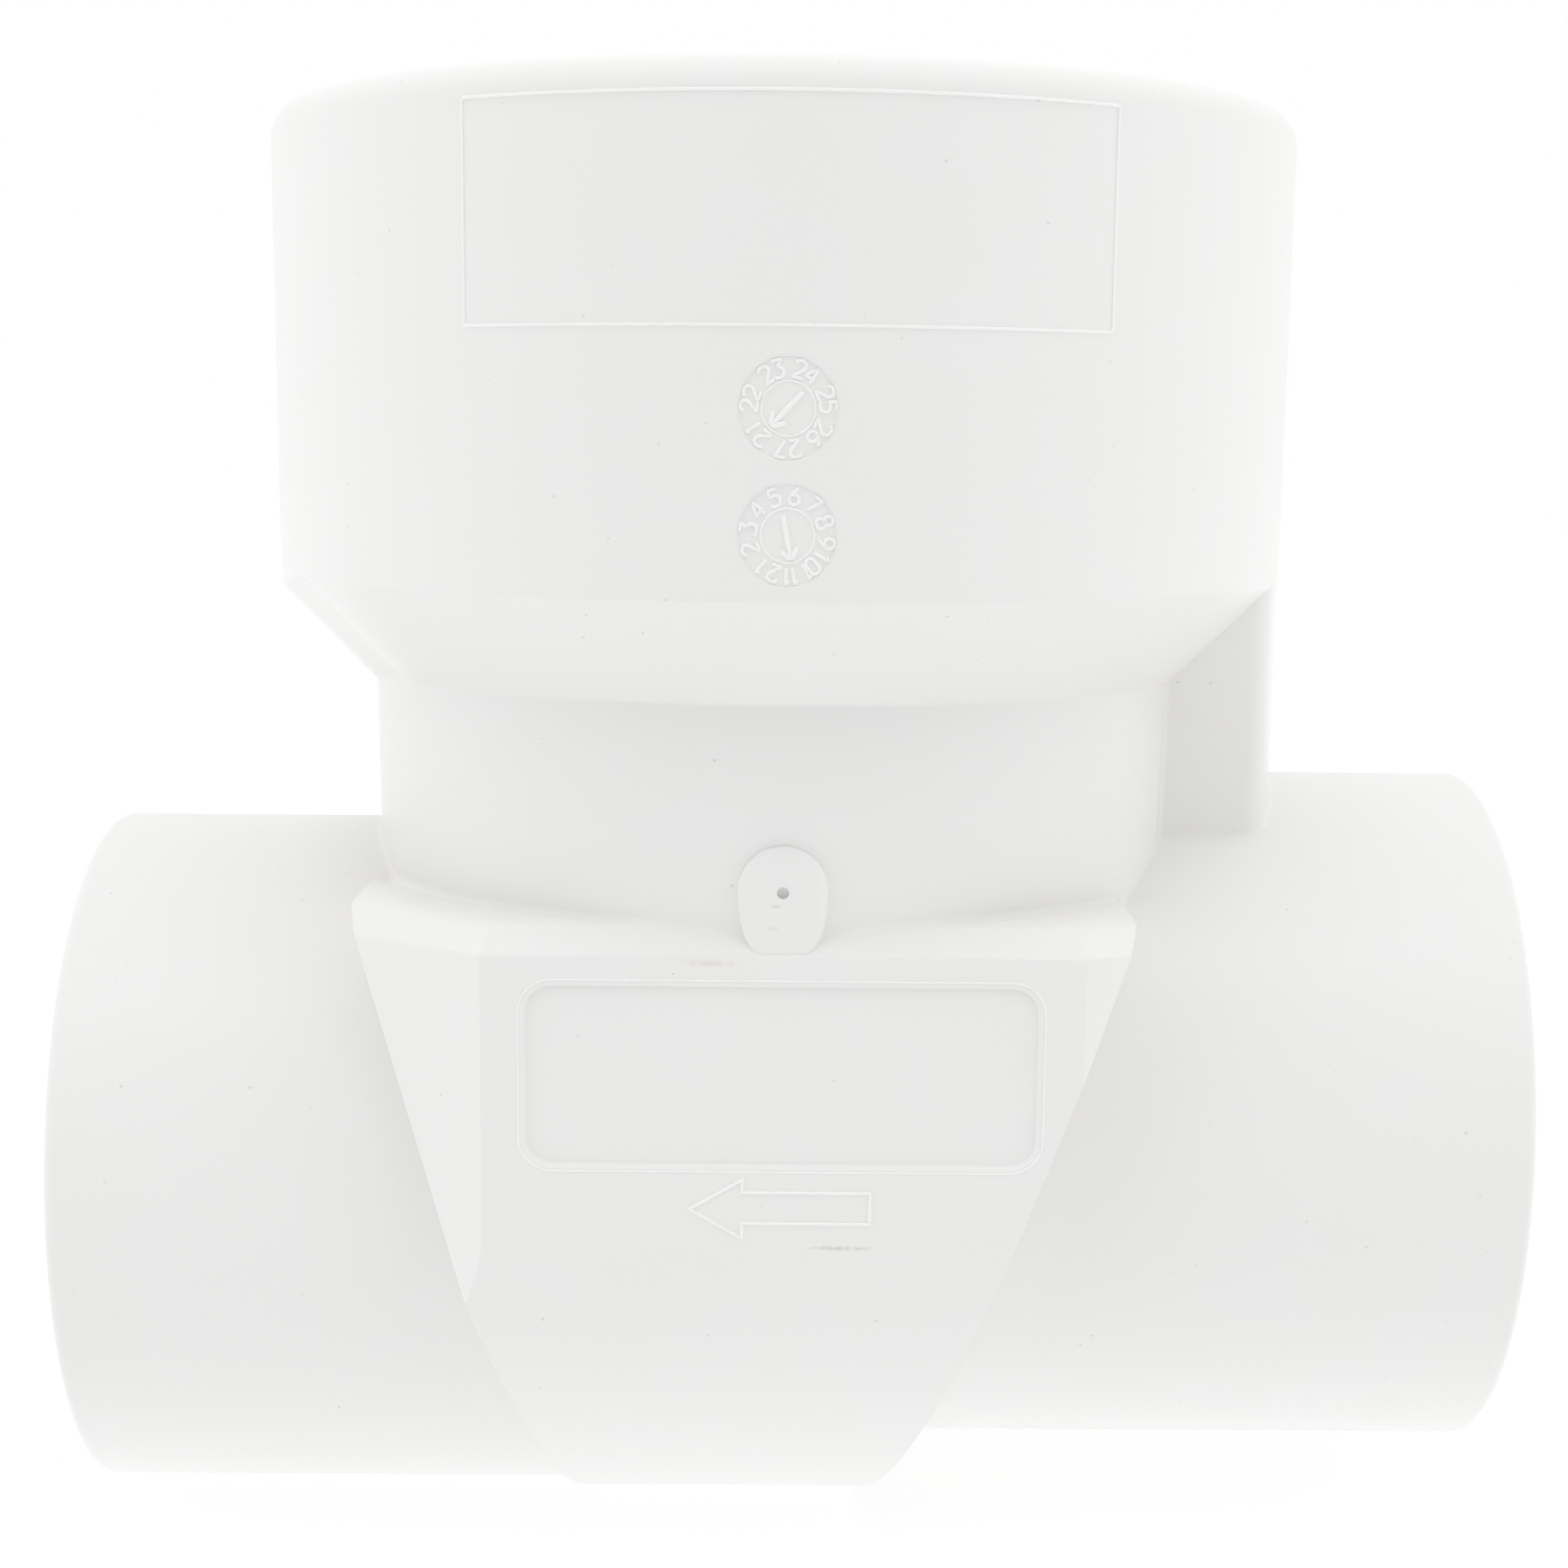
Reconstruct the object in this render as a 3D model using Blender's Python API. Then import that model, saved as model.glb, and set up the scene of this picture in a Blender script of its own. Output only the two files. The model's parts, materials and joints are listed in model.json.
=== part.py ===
"""Extendable backwater valve for a 4 inch drain line, with its lift-out flapper cartridge.

Frame: +X looks to the inlet, -Y is the front with the flow pad, +Z is up. The origin is the
middle of the valve's box in plan, at the height of its lowest point. Sizes are in metres.
Plan positions are measured from the vertical riser axis, which an empty carries to its place.
"""

import math

import bmesh
import bpy
from mathutils import Euler, Matrix, Vector

MM = 0.001
INCH = 25.4 * MM

# Clearances
TOUCH_GAP = 0.3 * MM
FLOOR_GAP = 0.5 * MM
CAGE_GAP = 0.9 * MM

# Pipe hubs, for 4 inch drain pipe
HUB_OUTSIDE = 5.0 * INCH
PIPE_SOCKET_BORE = 114.8 * MM
PIPE_SOCKET_DEPTH = 44.5 * MM
PIPE_BORE = 101.6 * MM
HUB_EDGE_ROUND = 2.0 * MM
SOCKET_LEAD = 1.0 * MM
OUTLET_REACH = 125.7 * MM
INLET_REACH = 130.4 * MM
INLET_RISE = 10.0 * MM

# Riser hub, for 6 inch drain pipe, with its cone and neck
RISER_HUB_OUTSIDE = 183.8 * MM
RISER_SOCKET_BORE = 168.8 * MM
RISER_SOCKET_DEPTH = 78.5 * MM
RISER_PIPE_BORE = 154.0 * MM
RISER_TOP = 256.0 * MM
RISER_RIM_ROUND = 5.5 * MM
RISER_SOCKET_LEAD = 1.5 * MM
RISER_HUB_BASE = 174.5 * MM
NECK_TOP = 157.0 * MM
NECK_TOP_OUTSIDE = 150.0 * MM
NECK_FOOT_OUTSIDE = 149.0 * MM
NECK_BORE = 138.0 * MM

# Bulb: the wedge-shaped chamber under the neck
WALL = 6.0 * MM
BULB_ROUND = 78.5 * MM
BULB_SIDE = 77.6 * MM
BULB_ROOF = 120.3 * MM
BULB_ROOF_BEVEL = 4.3 * MM
PAD_OUTLET_EDGE = 48.8 * MM
PAD_INLET_EDGE = 50.3 * MM
OUTLET_CHAMFER = math.radians(37.5)
INLET_CHAMFER = math.radians(30.0)
OUTLET_WALL_TILT = math.radians(18.2)
INLET_WALL_TILT = math.radians(20.3)
OUTLET_WALL_AT_AXIS = 54.8 * MM
INLET_WALL_AT_AXIS = 39.0 * MM
OUTLET_PIPE_DROP = 0.5 * MM
INLET_PORT_STEP = 3.0 * MM
INLET_LIP = 6.0 * MM

# Web over the inlet pipe with the keyway inside it, and the gusset on the outlet side
WEB_WIDTH = 60.0 * MM
WEB_CORNER = 4.0 * MM
WEB_STEP = 0.25 * MM
KEYWAY_WIDTH = 48.0 * MM
KEYWAY_RADIUS = 83.5 * MM
KEYWAY_CORNER = 3.0 * MM
KEYWAY_FLOOR = 134.0 * MM
WEB_ROOT = 45.0 * MM
GUSSET_HALF_ANGLE = math.radians(27.0)
GUSSET_THICKNESS = 1.2 * MM

# Moulded details of the front
WINDOW_LENGTH = 86.0 * MM
WINDOW_HEIGHT = 31.6 * MM
WINDOW_CENTRE_X = 0.6 * MM
WINDOW_CENTRE_Z = 96.0 * MM
WINDOW_CORNER = 5.3 * MM
WINDOW_DEPTH = 0.9 * MM
WINDOW_DRAFT = 0.9 * MM
GATE_RADIUS = 7.4 * MM
GATE_CENTRE_X = 0.6 * MM
GATE_CENTRE_Z = 126.6 * MM
GATE_FACE = 77.0 * MM
GATE_FOOT_WIDTH = 11.0 * MM
GATE_HOLE_RADIUS = 1.0 * MM
GATE_HOLE_DEPTH = 3.0 * MM

# Cage: the moulded frame of the lift-out cartridge
CAGE_RADIUS = 67.6 * MM
CAGE_WALL = 4.2 * MM
CAGE_TOP = 136.0 * MM
SEAT_PLATE = 5.5 * MM
SEAT_PORT = 90.0 * MM
SEAT_LIP_WIDTH = 2.2 * MM
SEAT_LIP_HEIGHT = 1.2 * MM
OUTLET_FLANGE = 5.0 * MM
OUTLET_FLANGE_TOP = 69.0 * MM
OUTLET_OPENING_STEP = 0.7 * MM
SWING_GAP = 3.5 * MM
TONGUE_REACH = 72.0 * MM
TONGUE_GAP = 0.5 * MM
TONGUE_THICKNESS = 6.6 * MM
TONGUE_ROOT = 49.5 * MM
TONGUE_BEVEL = 3.0 * MM

# Face seal between the cage and the inlet wall
O_RING_SECTION = 3.0 * MM
O_RING_INSET = 6.5 * MM

# Flapper with its seal
FLAPPER_OVERLAP = 4.0 * MM
FLAPPER_THICKNESS = 3.5 * MM
FLAPPER_RIM = 4.0 * MM
FLAPPER_RIB = 3.0 * MM
FLAPPER_RIB_HEIGHT = 3.5 * MM
FLAPPER_HUB_RADIUS = 9.0 * MM
FLAPPER_RIBS = 6
SEAL_THICKNESS = 2.5 * MM
SEAL_WIDTH = 12.5 * MM
SEAL_LAP = 3.5 * MM
RETAINER_THICKNESS = 2.3 * MM
RETAINER_CLEARANCE = 1.5 * MM
RETAINER_BEVEL = 1.0 * MM
SCREW_COUNT = 6
SCREW_INSET = 8.0 * MM
SCREW_SHANK = 1.6 * MM
SCREW_HEAD_RADIUS = 3.5 * MM
SCREW_HEAD_HEIGHT = 2.0 * MM
SCREW_CROWN_RADIUS = 2.1 * MM
SCREW_DEPTH = 9.5 * MM
SCREW_BOSS_RADIUS = 4.4 * MM

# Flapper hinge
HINGE_OFFSET = 4.5 * MM
KNUCKLE_RADIUS = 6.3 * MM
KNUCKLE_INNER = 12.0 * MM
KNUCKLE_OUTER = 27.0 * MM
ARM_REACH = 19.0 * MM
ARM_INSET = 0.5 * MM
PIN_RADIUS = 2.8 * MM
BUSH_WALL = 0.9 * MM
BUSH_FLANGE_RADIUS = 5.7 * MM
BUSH_FLANGE = 1.4 * MM
LUG_THICKNESS = 5.0 * MM
LUG_RADIUS = 6.5 * MM
CLIP_THICKNESS = 1.0 * MM
CLIP_RADIUS = 5.2 * MM
CLIP_GROOVE = 0.7 * MM
CLIP_SLOT = 3.4 * MM
PIN_END = 1.6 * MM

# Lifting handle
WIRE_RADIUS = 2.5 * MM
HANDLE_REACH = 55.0 * MM
HANDLE_SHOULDER = 25.5 * MM
EYE_RADIUS = 5.0 * MM
EYE_THICKNESS = 4.7 * MM
EAR_RADIUS = 6.0 * MM
EAR_INSET = 0.3 * MM
RIVET_RADIUS = 2.4 * MM
RIVET_HEAD_RADIUS = 4.5 * MM
RIVET_HEAD = 1.5 * MM
RIVET_CROWN_RADIUS = 3.1 * MM
RIVET_TAIL_RADIUS = 3.6 * MM

# Facets and shading
SHARP_ANGLE = math.radians(28.0)
RISER_SEGMENTS = 72
PIPE_SEGMENTS = 60
BULB_STEPS = 30
RING_SEGMENTS = 46
SMALL_SEGMENTS = 16
SCREW_SEGMENTS = 10
ARC_STEPS = 4

# Positions worked out from the sizes above
RISER_X = (OUTLET_REACH - INLET_REACH) / 2
OUTLET_AXIS = HUB_OUTSIDE / 2 + OUTLET_PIPE_DROP
INLET_AXIS = OUTLET_AXIS + INLET_RISE
BULB_AXIS = BULB_ROUND
CHAMBER_ROUND = BULB_ROUND - WALL - OUTLET_PIPE_DROP
CHAMBER_SIDE = BULB_SIDE - WALL
CHAMBER_ROOF = BULB_ROOF - WALL
RISER_SHOULDER = RISER_TOP - RISER_SOCKET_DEPTH
BEYOND = 20.0 * MM


def inlet_wall(z, inset=0.0):
    """Plan position of the sloping inlet wall at a height, moved inwards by a distance square to it."""
    rise = (z - OUTLET_AXIS) * math.tan(INLET_WALL_TILT)
    return INLET_WALL_AT_AXIS + rise - inset / math.cos(INLET_WALL_TILT)


def outlet_wall(z, inset=0.0):
    """Plan position of the sloping outlet wall at a height, moved inwards in the same way."""
    rise = (z - OUTLET_AXIS) * math.tan(OUTLET_WALL_TILT)
    return -OUTLET_WALL_AT_AXIS - rise + inset / math.cos(OUTLET_WALL_TILT)


# Seat frame: its origin is the middle of the inlet port on the chamber's sloping wall, its X
# points square to that wall towards the inlet, and its Z runs up the wall.
SEAT_ORIGIN = Vector((inlet_wall(INLET_AXIS, WALL), 0.0, INLET_AXIS))
SEAT_FRAME = Matrix.Translation(SEAT_ORIGIN) @ Euler((0.0, INLET_WALL_TILT, 0.0)).to_matrix().to_4x4()

# The flapper's stack, as distances from the chamber wall towards the outlet
PLATE_BACK = CAGE_GAP + SEAT_PLATE
LIP_TOP = PLATE_BACK + SEAT_LIP_HEIGHT
SEAL_FRONT = LIP_TOP + TOUCH_GAP
DISC_FRONT = SEAL_FRONT + SEAL_THICKNESS + TOUCH_GAP
DISC_BACK = DISC_FRONT + FLAPPER_THICKNESS
RIB_BACK = DISC_BACK + FLAPPER_RIB_HEIGHT
RETAINER_BACK = SEAL_FRONT - TOUCH_GAP
RETAINER_FRONT = RETAINER_BACK - RETAINER_THICKNESS
FLAPPER_RADIUS = SEAT_PORT / 2 + FLAPPER_OVERLAP
SEAL_RADIUS = SEAT_PORT / 2 + SEAL_LAP
SEAL_INNER_RADIUS = SEAL_RADIUS - SEAL_WIDTH
SCREW_CIRCLE = SEAL_INNER_RADIUS - SCREW_INSET
O_RING_RADIUS = SEAT_PORT / 2 + O_RING_INSET
INLET_PORT = SEAT_PORT + 2 * INLET_PORT_STEP
CHANNEL_BORE = 2 * (FLAPPER_RADIUS + SWING_GAP)
OUTLET_OPENING = CHANNEL_BORE - 2 * OUTLET_OPENING_STEP
HINGE_IN_SEAT = Vector((-(PLATE_BACK + KNUCKLE_RADIUS + 2 * TOUCH_GAP), 0.0, FLAPPER_RADIUS + HINGE_OFFSET))
HINGE_POINT = SEAT_FRAME @ HINGE_IN_SEAT
HINGE_FRAME = Matrix.Translation(HINGE_POINT) @ Euler((0.0, INLET_WALL_TILT, 0.0)).to_matrix().to_4x4()
SEAT_TO_HINGE = Matrix.Translation(-HINGE_IN_SEAT)
BUSH_OUTSIDE = PIN_RADIUS + TOUCH_GAP + BUSH_WALL
FLANGE_INNER = KNUCKLE_OUTER + TOUCH_GAP
LUG_INNER = FLANGE_INNER + BUSH_FLANGE + TOUCH_GAP
LUG_OUTER = LUG_INNER + LUG_THICKNESS
CLIP_INNER = LUG_OUTER + TOUCH_GAP
CLIP_OUTER = CLIP_INNER + CLIP_THICKNESS
HANDLE_HEIGHT = CAGE_TOP + TOUCH_GAP + WIRE_RADIUS
HANDLE_POINT = Vector((0.0, 0.0, HANDLE_HEIGHT))
CHEEK_INNER = CHANNEL_BORE / 2
CHEEK_OUTER = CHANNEL_BORE / 2 + CAGE_WALL
HANDLE_BEND = CHEEK_INNER - HANDLE_SHOULDER
EYE_OUTER = CHEEK_INNER - TOUCH_GAP
EYE_INNER = EYE_OUTER - EYE_THICKNESS

# Turns a shape made round Z into one round another axis
ALONG_X = Matrix(((0, 0, 1, 0), (1, 0, 0, 0), (0, 1, 0, 0), (0, 0, 0, 1)))
ALONG_MINUS_X = Matrix(((0, 0, -1, 0), (1, 0, 0, 0), (0, -1, 0, 0), (0, 0, 0, 1)))
ALONG_Y = Matrix(((0, 1, 0, 0), (0, 0, 1, 0), (1, 0, 0, 0), (0, 0, 0, 1)))


def clear_scene():
    """Start from an empty scene."""
    for item in list(bpy.data.objects):
        bpy.data.objects.remove(item, do_unlink=True)


def material(name, colour, roughness, metallic=0.0):
    """A plain surface of one colour."""
    made = bpy.data.materials.new(name)
    made.use_nodes = True
    shader = made.node_tree.nodes["Principled BSDF"]
    shader.inputs["Base Color"].default_value = (*colour, 1.0)
    shader.inputs["Roughness"].default_value = roughness
    shader.inputs["Metallic"].default_value = metallic
    return made


def object_from(shape, name):
    """Close a bmesh into an object with its faces pointing out."""
    bmesh.ops.recalc_face_normals(shape, faces=shape.faces)
    mesh = bpy.data.meshes.new(name)
    shape.to_mesh(mesh)
    shape.free()
    made = bpy.data.objects.new(name, mesh)
    bpy.context.scene.collection.objects.link(made)
    return made


def turned(name, profile, segments, place=Matrix.Identity(4), closed=False, angle=math.tau, start=0.0):
    """Turn a profile of (radius, height) points round Z; a closed profile gives a ring.

    A flat end that reaches the axis becomes one face, which later cuts take better than a fan.
    """
    shape = bmesh.new()
    points = [shape.verts.new((radius, 0.0, height)) for radius, height in profile]
    edges = [shape.edges.new(pair) for pair in zip(points, points[1:])]
    if closed:
        edges.append(shape.edges.new((points[-1], points[0])))
    bmesh.ops.rotate(shape, verts=points, cent=(0, 0, 0), matrix=Matrix.Rotation(start, 3, "Z"))
    bmesh.ops.spin(shape, geom=points + edges, cent=(0, 0, 0), axis=(0, 0, 1), steps=segments, angle=angle)
    bmesh.ops.remove_doubles(shape, verts=shape.verts, dist=1e-6)
    hubs = [vert for vert in shape.verts if vert.co.xy.length < 1e-6]
    bmesh.ops.dissolve_verts(shape, verts=hubs)
    if angle < math.tau:
        bmesh.ops.holes_fill(shape, edges=[edge for edge in shape.edges if edge.is_boundary])
    bmesh.ops.transform(shape, matrix=place, verts=shape.verts)
    return object_from(shape, name)


def cylinder(name, radius, low, high, segments, place=Matrix.Identity(4)):
    """A plain round solid along Z from low to high."""
    return turned(name, [(0.0, low), (radius, low), (radius, high), (0.0, high)], segments, place)


def tube(name, inner, outer, low, high, segments, place=Matrix.Identity(4)):
    """A round solid with a hole through it."""
    profile = [(inner, low), (outer, low), (outer, high), (inner, high)]
    return turned(name, profile, segments, place, closed=True)


PLANES = {
    "XY": lambda a, b, c: (a, b, c),
    "XZ": lambda a, b, c: (a, c, b),
    "YZ": lambda a, b, c: (c, a, b),
}


def prism(name, outline, plane, low, high, place=Matrix.Identity(4)):
    """Extrude an outline square to its plane."""
    lift = PLANES[plane]
    shape = bmesh.new()
    face = shape.faces.new([shape.verts.new(lift(a, b, low)) for a, b in outline])
    grown = bmesh.ops.extrude_face_region(shape, geom=[face])
    verts = [item for item in grown["geom"] if isinstance(item, bmesh.types.BMVert)]
    bmesh.ops.translate(shape, vec=lift(0.0, 0.0, high - low), verts=verts)
    bmesh.ops.transform(shape, matrix=place, verts=shape.verts)
    return object_from(shape, name)


def block(name, low, high, place=Matrix.Identity(4)):
    """A box between two corners."""
    outline = [(low[0], low[1]), (high[0], low[1]), (high[0], high[1]), (low[0], high[1])]
    return prism(name, outline, "XY", low[2], high[2], place)


def arc(centre, radius, first, last, steps):
    """Points on an arc, both ends included; angles in radians."""
    turn = [first + (last - first) * step / steps for step in range(steps + 1)]
    return [(centre[0] + radius * math.cos(a), centre[1] + radius * math.sin(a)) for a in turn]


def combine(target, tools, operation):
    """Join, cut or intersect a solid with others, which are used up."""
    for tool in tools:
        step = target.modifiers.new(operation.lower(), "BOOLEAN")
        step.operation = operation
        step.solver = "EXACT"
        step.object = tool
        bpy.context.view_layer.update()
        reading = target.evaluated_get(bpy.context.evaluated_depsgraph_get())
        result = bpy.data.meshes.new_from_object(reading)
        target.modifiers.clear()
        target.data = result
        bpy.data.objects.remove(tool, do_unlink=True)
    return target


def join(target, *tools):
    """One solid out of several."""
    return combine(target, tools, "UNION")


def cut(target, *tools):
    """A solid less others."""
    return combine(target, tools, "DIFFERENCE")


def keep_common(target, *tools):
    """What a solid has in common with others."""
    return combine(target, tools, "INTERSECT")


def finish(item, name, surface, parent=None):
    """Name a solid, give it its material and smooth shading, and hang it on its parent."""
    item.name = name
    item.data.name = name
    item.data.materials.clear()
    item.data.materials.append(surface)
    item.data.shade_smooth()
    item.data.set_sharp_from_angle(angle=SHARP_ANGLE)
    item.parent = parent
    return item


def empty(name, matrix, parent=None):
    """A named frame that pieces hang on."""
    made = bpy.data.objects.new(name, None)
    made.empty_display_size = 20.0 * MM
    made.matrix_basis = matrix
    made.parent = parent
    bpy.context.scene.collection.objects.link(made)
    return made


def sector_outline(half_width, radius, corner, root, steps):
    """Plan outline of a straight-sided web whose far face is an arc about the riser axis."""
    middle = math.sqrt((radius - corner) ** 2 - (half_width - corner) ** 2)
    lean = math.atan2(half_width - corner, middle)
    low = arc((middle, corner - half_width), corner, -math.pi / 2, -lean, steps)
    far = arc((0.0, 0.0), radius, -lean, lean, 2 * steps)
    high = arc((middle, half_width - corner), corner, lean, math.pi / 2, steps)
    return [(root, -half_width)] + low + far[1:-1] + high + [(root, half_width)]


def bulb_plan(side, inset):
    """Plan outline of the bulb: flat front and back pads with a chamfer towards each wall."""
    reach = NECK_TOP_OUTSIDE / 2 + BEYOND
    outlet_edge = PAD_OUTLET_EDGE - inset * math.tan(OUTLET_CHAMFER / 2)
    inlet_edge = PAD_INLET_EDGE - inset * math.tan(INLET_CHAMFER / 2)
    outlet_side = side - (reach - outlet_edge) * math.tan(OUTLET_CHAMFER)
    inlet_side = side - (reach - inlet_edge) * math.tan(INLET_CHAMFER)
    front = [(-reach, -outlet_side), (-outlet_edge, -side), (inlet_edge, -side), (reach, -inlet_side)]
    return front + [(x, -y) for x, y in reversed(front)]


def belly_section(name, radius, roof):
    """A long bar with the bulb's cross-section: a half-round belly under upright sides."""
    belly = arc((0.0, BULB_AXIS), radius, math.pi, math.tau, BULB_STEPS)
    return prism(name, belly + [(radius, roof), (-radius, roof)], "YZ", -OUTLET_REACH, OUTLET_REACH)


def wedge(name, inset, low, high):
    """The wedge between the two sloping walls, each moved inwards by the inset."""
    outline = [
        (outlet_wall(low, inset), low),
        (inlet_wall(low, inset), low),
        (inlet_wall(high, inset), high),
        (outlet_wall(high, inset), high),
    ]
    return prism(name, outline, "XZ", -RISER_HUB_OUTSIDE, RISER_HUB_OUTSIDE)


def bulb_outside():
    """The bulb's outer form: its plan with a bevelled roof edge, its section and the wedge."""
    shape = bmesh.new()
    outline = bulb_plan(BULB_SIDE, 0.0)
    face = shape.faces.new([shape.verts.new((x, y, -BEYOND)) for x, y in outline])
    grown = bmesh.ops.extrude_face_region(shape, geom=[face])
    top = [item for item in grown["geom"] if isinstance(item, bmesh.types.BMVert)]
    bmesh.ops.translate(shape, vec=(0.0, 0.0, BULB_ROOF + BEYOND), verts=top)
    rim = [edge for edge in shape.edges if all(vert in top for vert in edge.verts)]
    bmesh.ops.recalc_face_normals(shape, faces=shape.faces)
    bmesh.ops.bevel(shape, geom=rim, offset=BULB_ROOF_BEVEL, segments=1, affect="EDGES")
    bulb = object_from(shape, "bulb")
    section = belly_section("section", BULB_ROUND, BULB_ROOF + BEYOND)
    return keep_common(bulb, section, wedge("walls", 0.0, -BEYOND, BULB_ROOF + BEYOND))


def riser_outside():
    """Neck, cone and riser hub in one turning, with a rounded rim."""
    radius = RISER_HUB_OUTSIDE / 2
    middle = (radius - RISER_RIM_ROUND, RISER_TOP - RISER_RIM_ROUND)
    rim = arc(middle, RISER_RIM_ROUND, 0.0, math.pi / 2, ARC_STEPS)
    foot = CHAMBER_ROOF
    profile = [(0.0, foot), (NECK_FOOT_OUTSIDE / 2, foot), (NECK_FOOT_OUTSIDE / 2, BULB_ROOF)]
    profile += [(NECK_TOP_OUTSIDE / 2, NECK_TOP), (radius, RISER_HUB_BASE)] + rim + [(0.0, RISER_TOP)]
    return turned("riser", profile, RISER_SEGMENTS)


def pipe_hub(name, root, reach, place):
    """A pipe hub from inside the bulb to its rounded end."""
    radius = HUB_OUTSIDE / 2
    middle = (radius - HUB_EDGE_ROUND, reach - HUB_EDGE_ROUND)
    edge = arc(middle, HUB_EDGE_ROUND, 0.0, math.pi / 2, ARC_STEPS)
    return turned(name, [(0.0, root), (radius, root)] + edge + [(0.0, reach)], PIPE_SEGMENTS, place)


def gusset():
    """The raised stretch of the cone over the outlet pipe."""
    neck = NECK_TOP_OUTSIDE / 2
    hub = RISER_HUB_OUTSIDE / 2
    slope = (hub - neck) / (RISER_HUB_BASE - NECK_TOP)
    shift = GUSSET_THICKNESS * math.hypot(1.0, slope)
    inner = neck - TOUCH_GAP
    outer = hub - WEB_STEP
    low = NECK_TOP + (inner - neck - shift) / slope
    high = NECK_TOP + (outer - neck - shift) / slope
    top = RISER_HUB_BASE + GUSSET_THICKNESS
    profile = [(inner - BEYOND, low), (inner, low), (outer, high), (outer, top), (inner - BEYOND, top)]
    return turned("gusset", profile, ARC_STEPS * 3, closed=True,
                  angle=2 * GUSSET_HALF_ANGLE, start=math.pi - GUSSET_HALF_ANGLE)


def gate_boss():
    """The trimmed sprue left by moulding: a round boss that runs down to the roof edge."""
    crown = arc((GATE_CENTRE_X, GATE_CENTRE_Z), GATE_RADIUS, 0.0, math.pi, 3 * ARC_STEPS)
    foot = BULB_ROOF - BULB_ROOF_BEVEL
    half = GATE_FOOT_WIDTH / 2
    outline = crown + [(GATE_CENTRE_X - half, foot), (GATE_CENTRE_X + half, foot)]
    boss = prism("gate", outline, "XZ", -GATE_FACE, -NECK_BORE / 2 - WALL / 2)
    place = Matrix.Translation((GATE_CENTRE_X, -GATE_FACE, GATE_CENTRE_Z)) @ ALONG_Y
    return cut(boss, cylinder("pip", GATE_HOLE_RADIUS, -MM, GATE_HOLE_DEPTH, SMALL_SEGMENTS // 2, place))


def rounded_rectangle(length, height, corner, centre):
    """Outline of a rounded rectangle."""
    outline = []
    for quarter in range(4):
        turn = quarter * math.pi / 2
        side = 1 if quarter in (0, 3) else -1
        level = 1 if quarter in (0, 1) else -1
        middle = (centre[0] + side * (length / 2 - corner), centre[1] + level * (height / 2 - corner))
        outline += arc(middle, corner, turn, turn + math.pi / 2, ARC_STEPS)
    return outline


def window_cutter():
    """The shallow window in the front pad, wider at its mouth than at its floor."""
    centre = (WINDOW_CENTRE_X, WINDOW_CENTRE_Z)
    shape = bmesh.new()
    loops = []
    for step in (0, 2):
        grow = (step - 1) * WINDOW_DRAFT
        length = WINDOW_LENGTH + 2 * grow
        outline = rounded_rectangle(length, WINDOW_HEIGHT + 2 * grow, WINDOW_CORNER + grow, centre)
        depth = -BULB_SIDE + (1 - step) * WINDOW_DEPTH
        loops.append([shape.verts.new((x, depth, z)) for x, z in outline])
    rings = []
    for loop in loops:
        rings += [shape.edges.new(pair) for pair in zip(loop, loop[1:] + loop[:1])]
        shape.faces.new(loop)
    bmesh.ops.bridge_loops(shape, edges=rings)
    return object_from(shape, "window")


def socket_void(name, root, reach, place):
    """The space inside a pipe hub: bore, pipe stop and socket with a lead-in."""
    socket = PIPE_SOCKET_BORE / 2
    stop = reach - PIPE_SOCKET_DEPTH
    profile = [(0.0, root), (PIPE_BORE / 2, root), (PIPE_BORE / 2, stop), (socket, stop)]
    profile += [(socket, reach - SOCKET_LEAD), (socket + SOCKET_LEAD, reach)]
    profile += [(socket + SOCKET_LEAD, reach + BEYOND), (0.0, reach + BEYOND)]
    return turned(name, profile, PIPE_SEGMENTS, place)


def inlet_void(place):
    """The inlet hub's space, stopping short of the chamber by the lip that carries the port."""
    root = inlet_wall(INLET_AXIS - PIPE_BORE / 2, WALL)
    void = socket_void("inlet_space", root - BEYOND, INLET_REACH, place)
    reach = 2 * INLET_REACH
    beyond_lip = block("beyond_lip", (INLET_LIP, -reach, -reach), (reach, reach, reach), SEAT_FRAME)
    return keep_common(void, beyond_lip)


def riser_void():
    """The space above the chamber: neck, cone, pipe stop and riser socket."""
    neck = NECK_BORE / 2
    stop = RISER_PIPE_BORE / 2
    socket = RISER_SOCKET_BORE / 2
    slope = (RISER_HUB_OUTSIDE - NECK_TOP_OUTSIDE) / 2 / (RISER_HUB_BASE - NECK_TOP)
    cone_foot = NECK_TOP + (WALL * math.hypot(1.0, slope) - (NECK_TOP_OUTSIDE / 2 - neck)) / slope
    cone_top = cone_foot + (stop - neck) / slope
    profile = [(0.0, KEYWAY_FLOOR), (neck, KEYWAY_FLOOR), (neck, cone_foot), (stop, cone_top)]
    profile += [(stop, RISER_SHOULDER), (socket, RISER_SHOULDER), (socket, RISER_TOP - RISER_SOCKET_LEAD)]
    profile += [(socket + RISER_SOCKET_LEAD, RISER_TOP), (socket + RISER_SOCKET_LEAD, RISER_TOP + BEYOND)]
    profile += [(0.0, RISER_TOP + BEYOND)]
    return turned("riser_space", profile, RISER_SEGMENTS)


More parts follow.
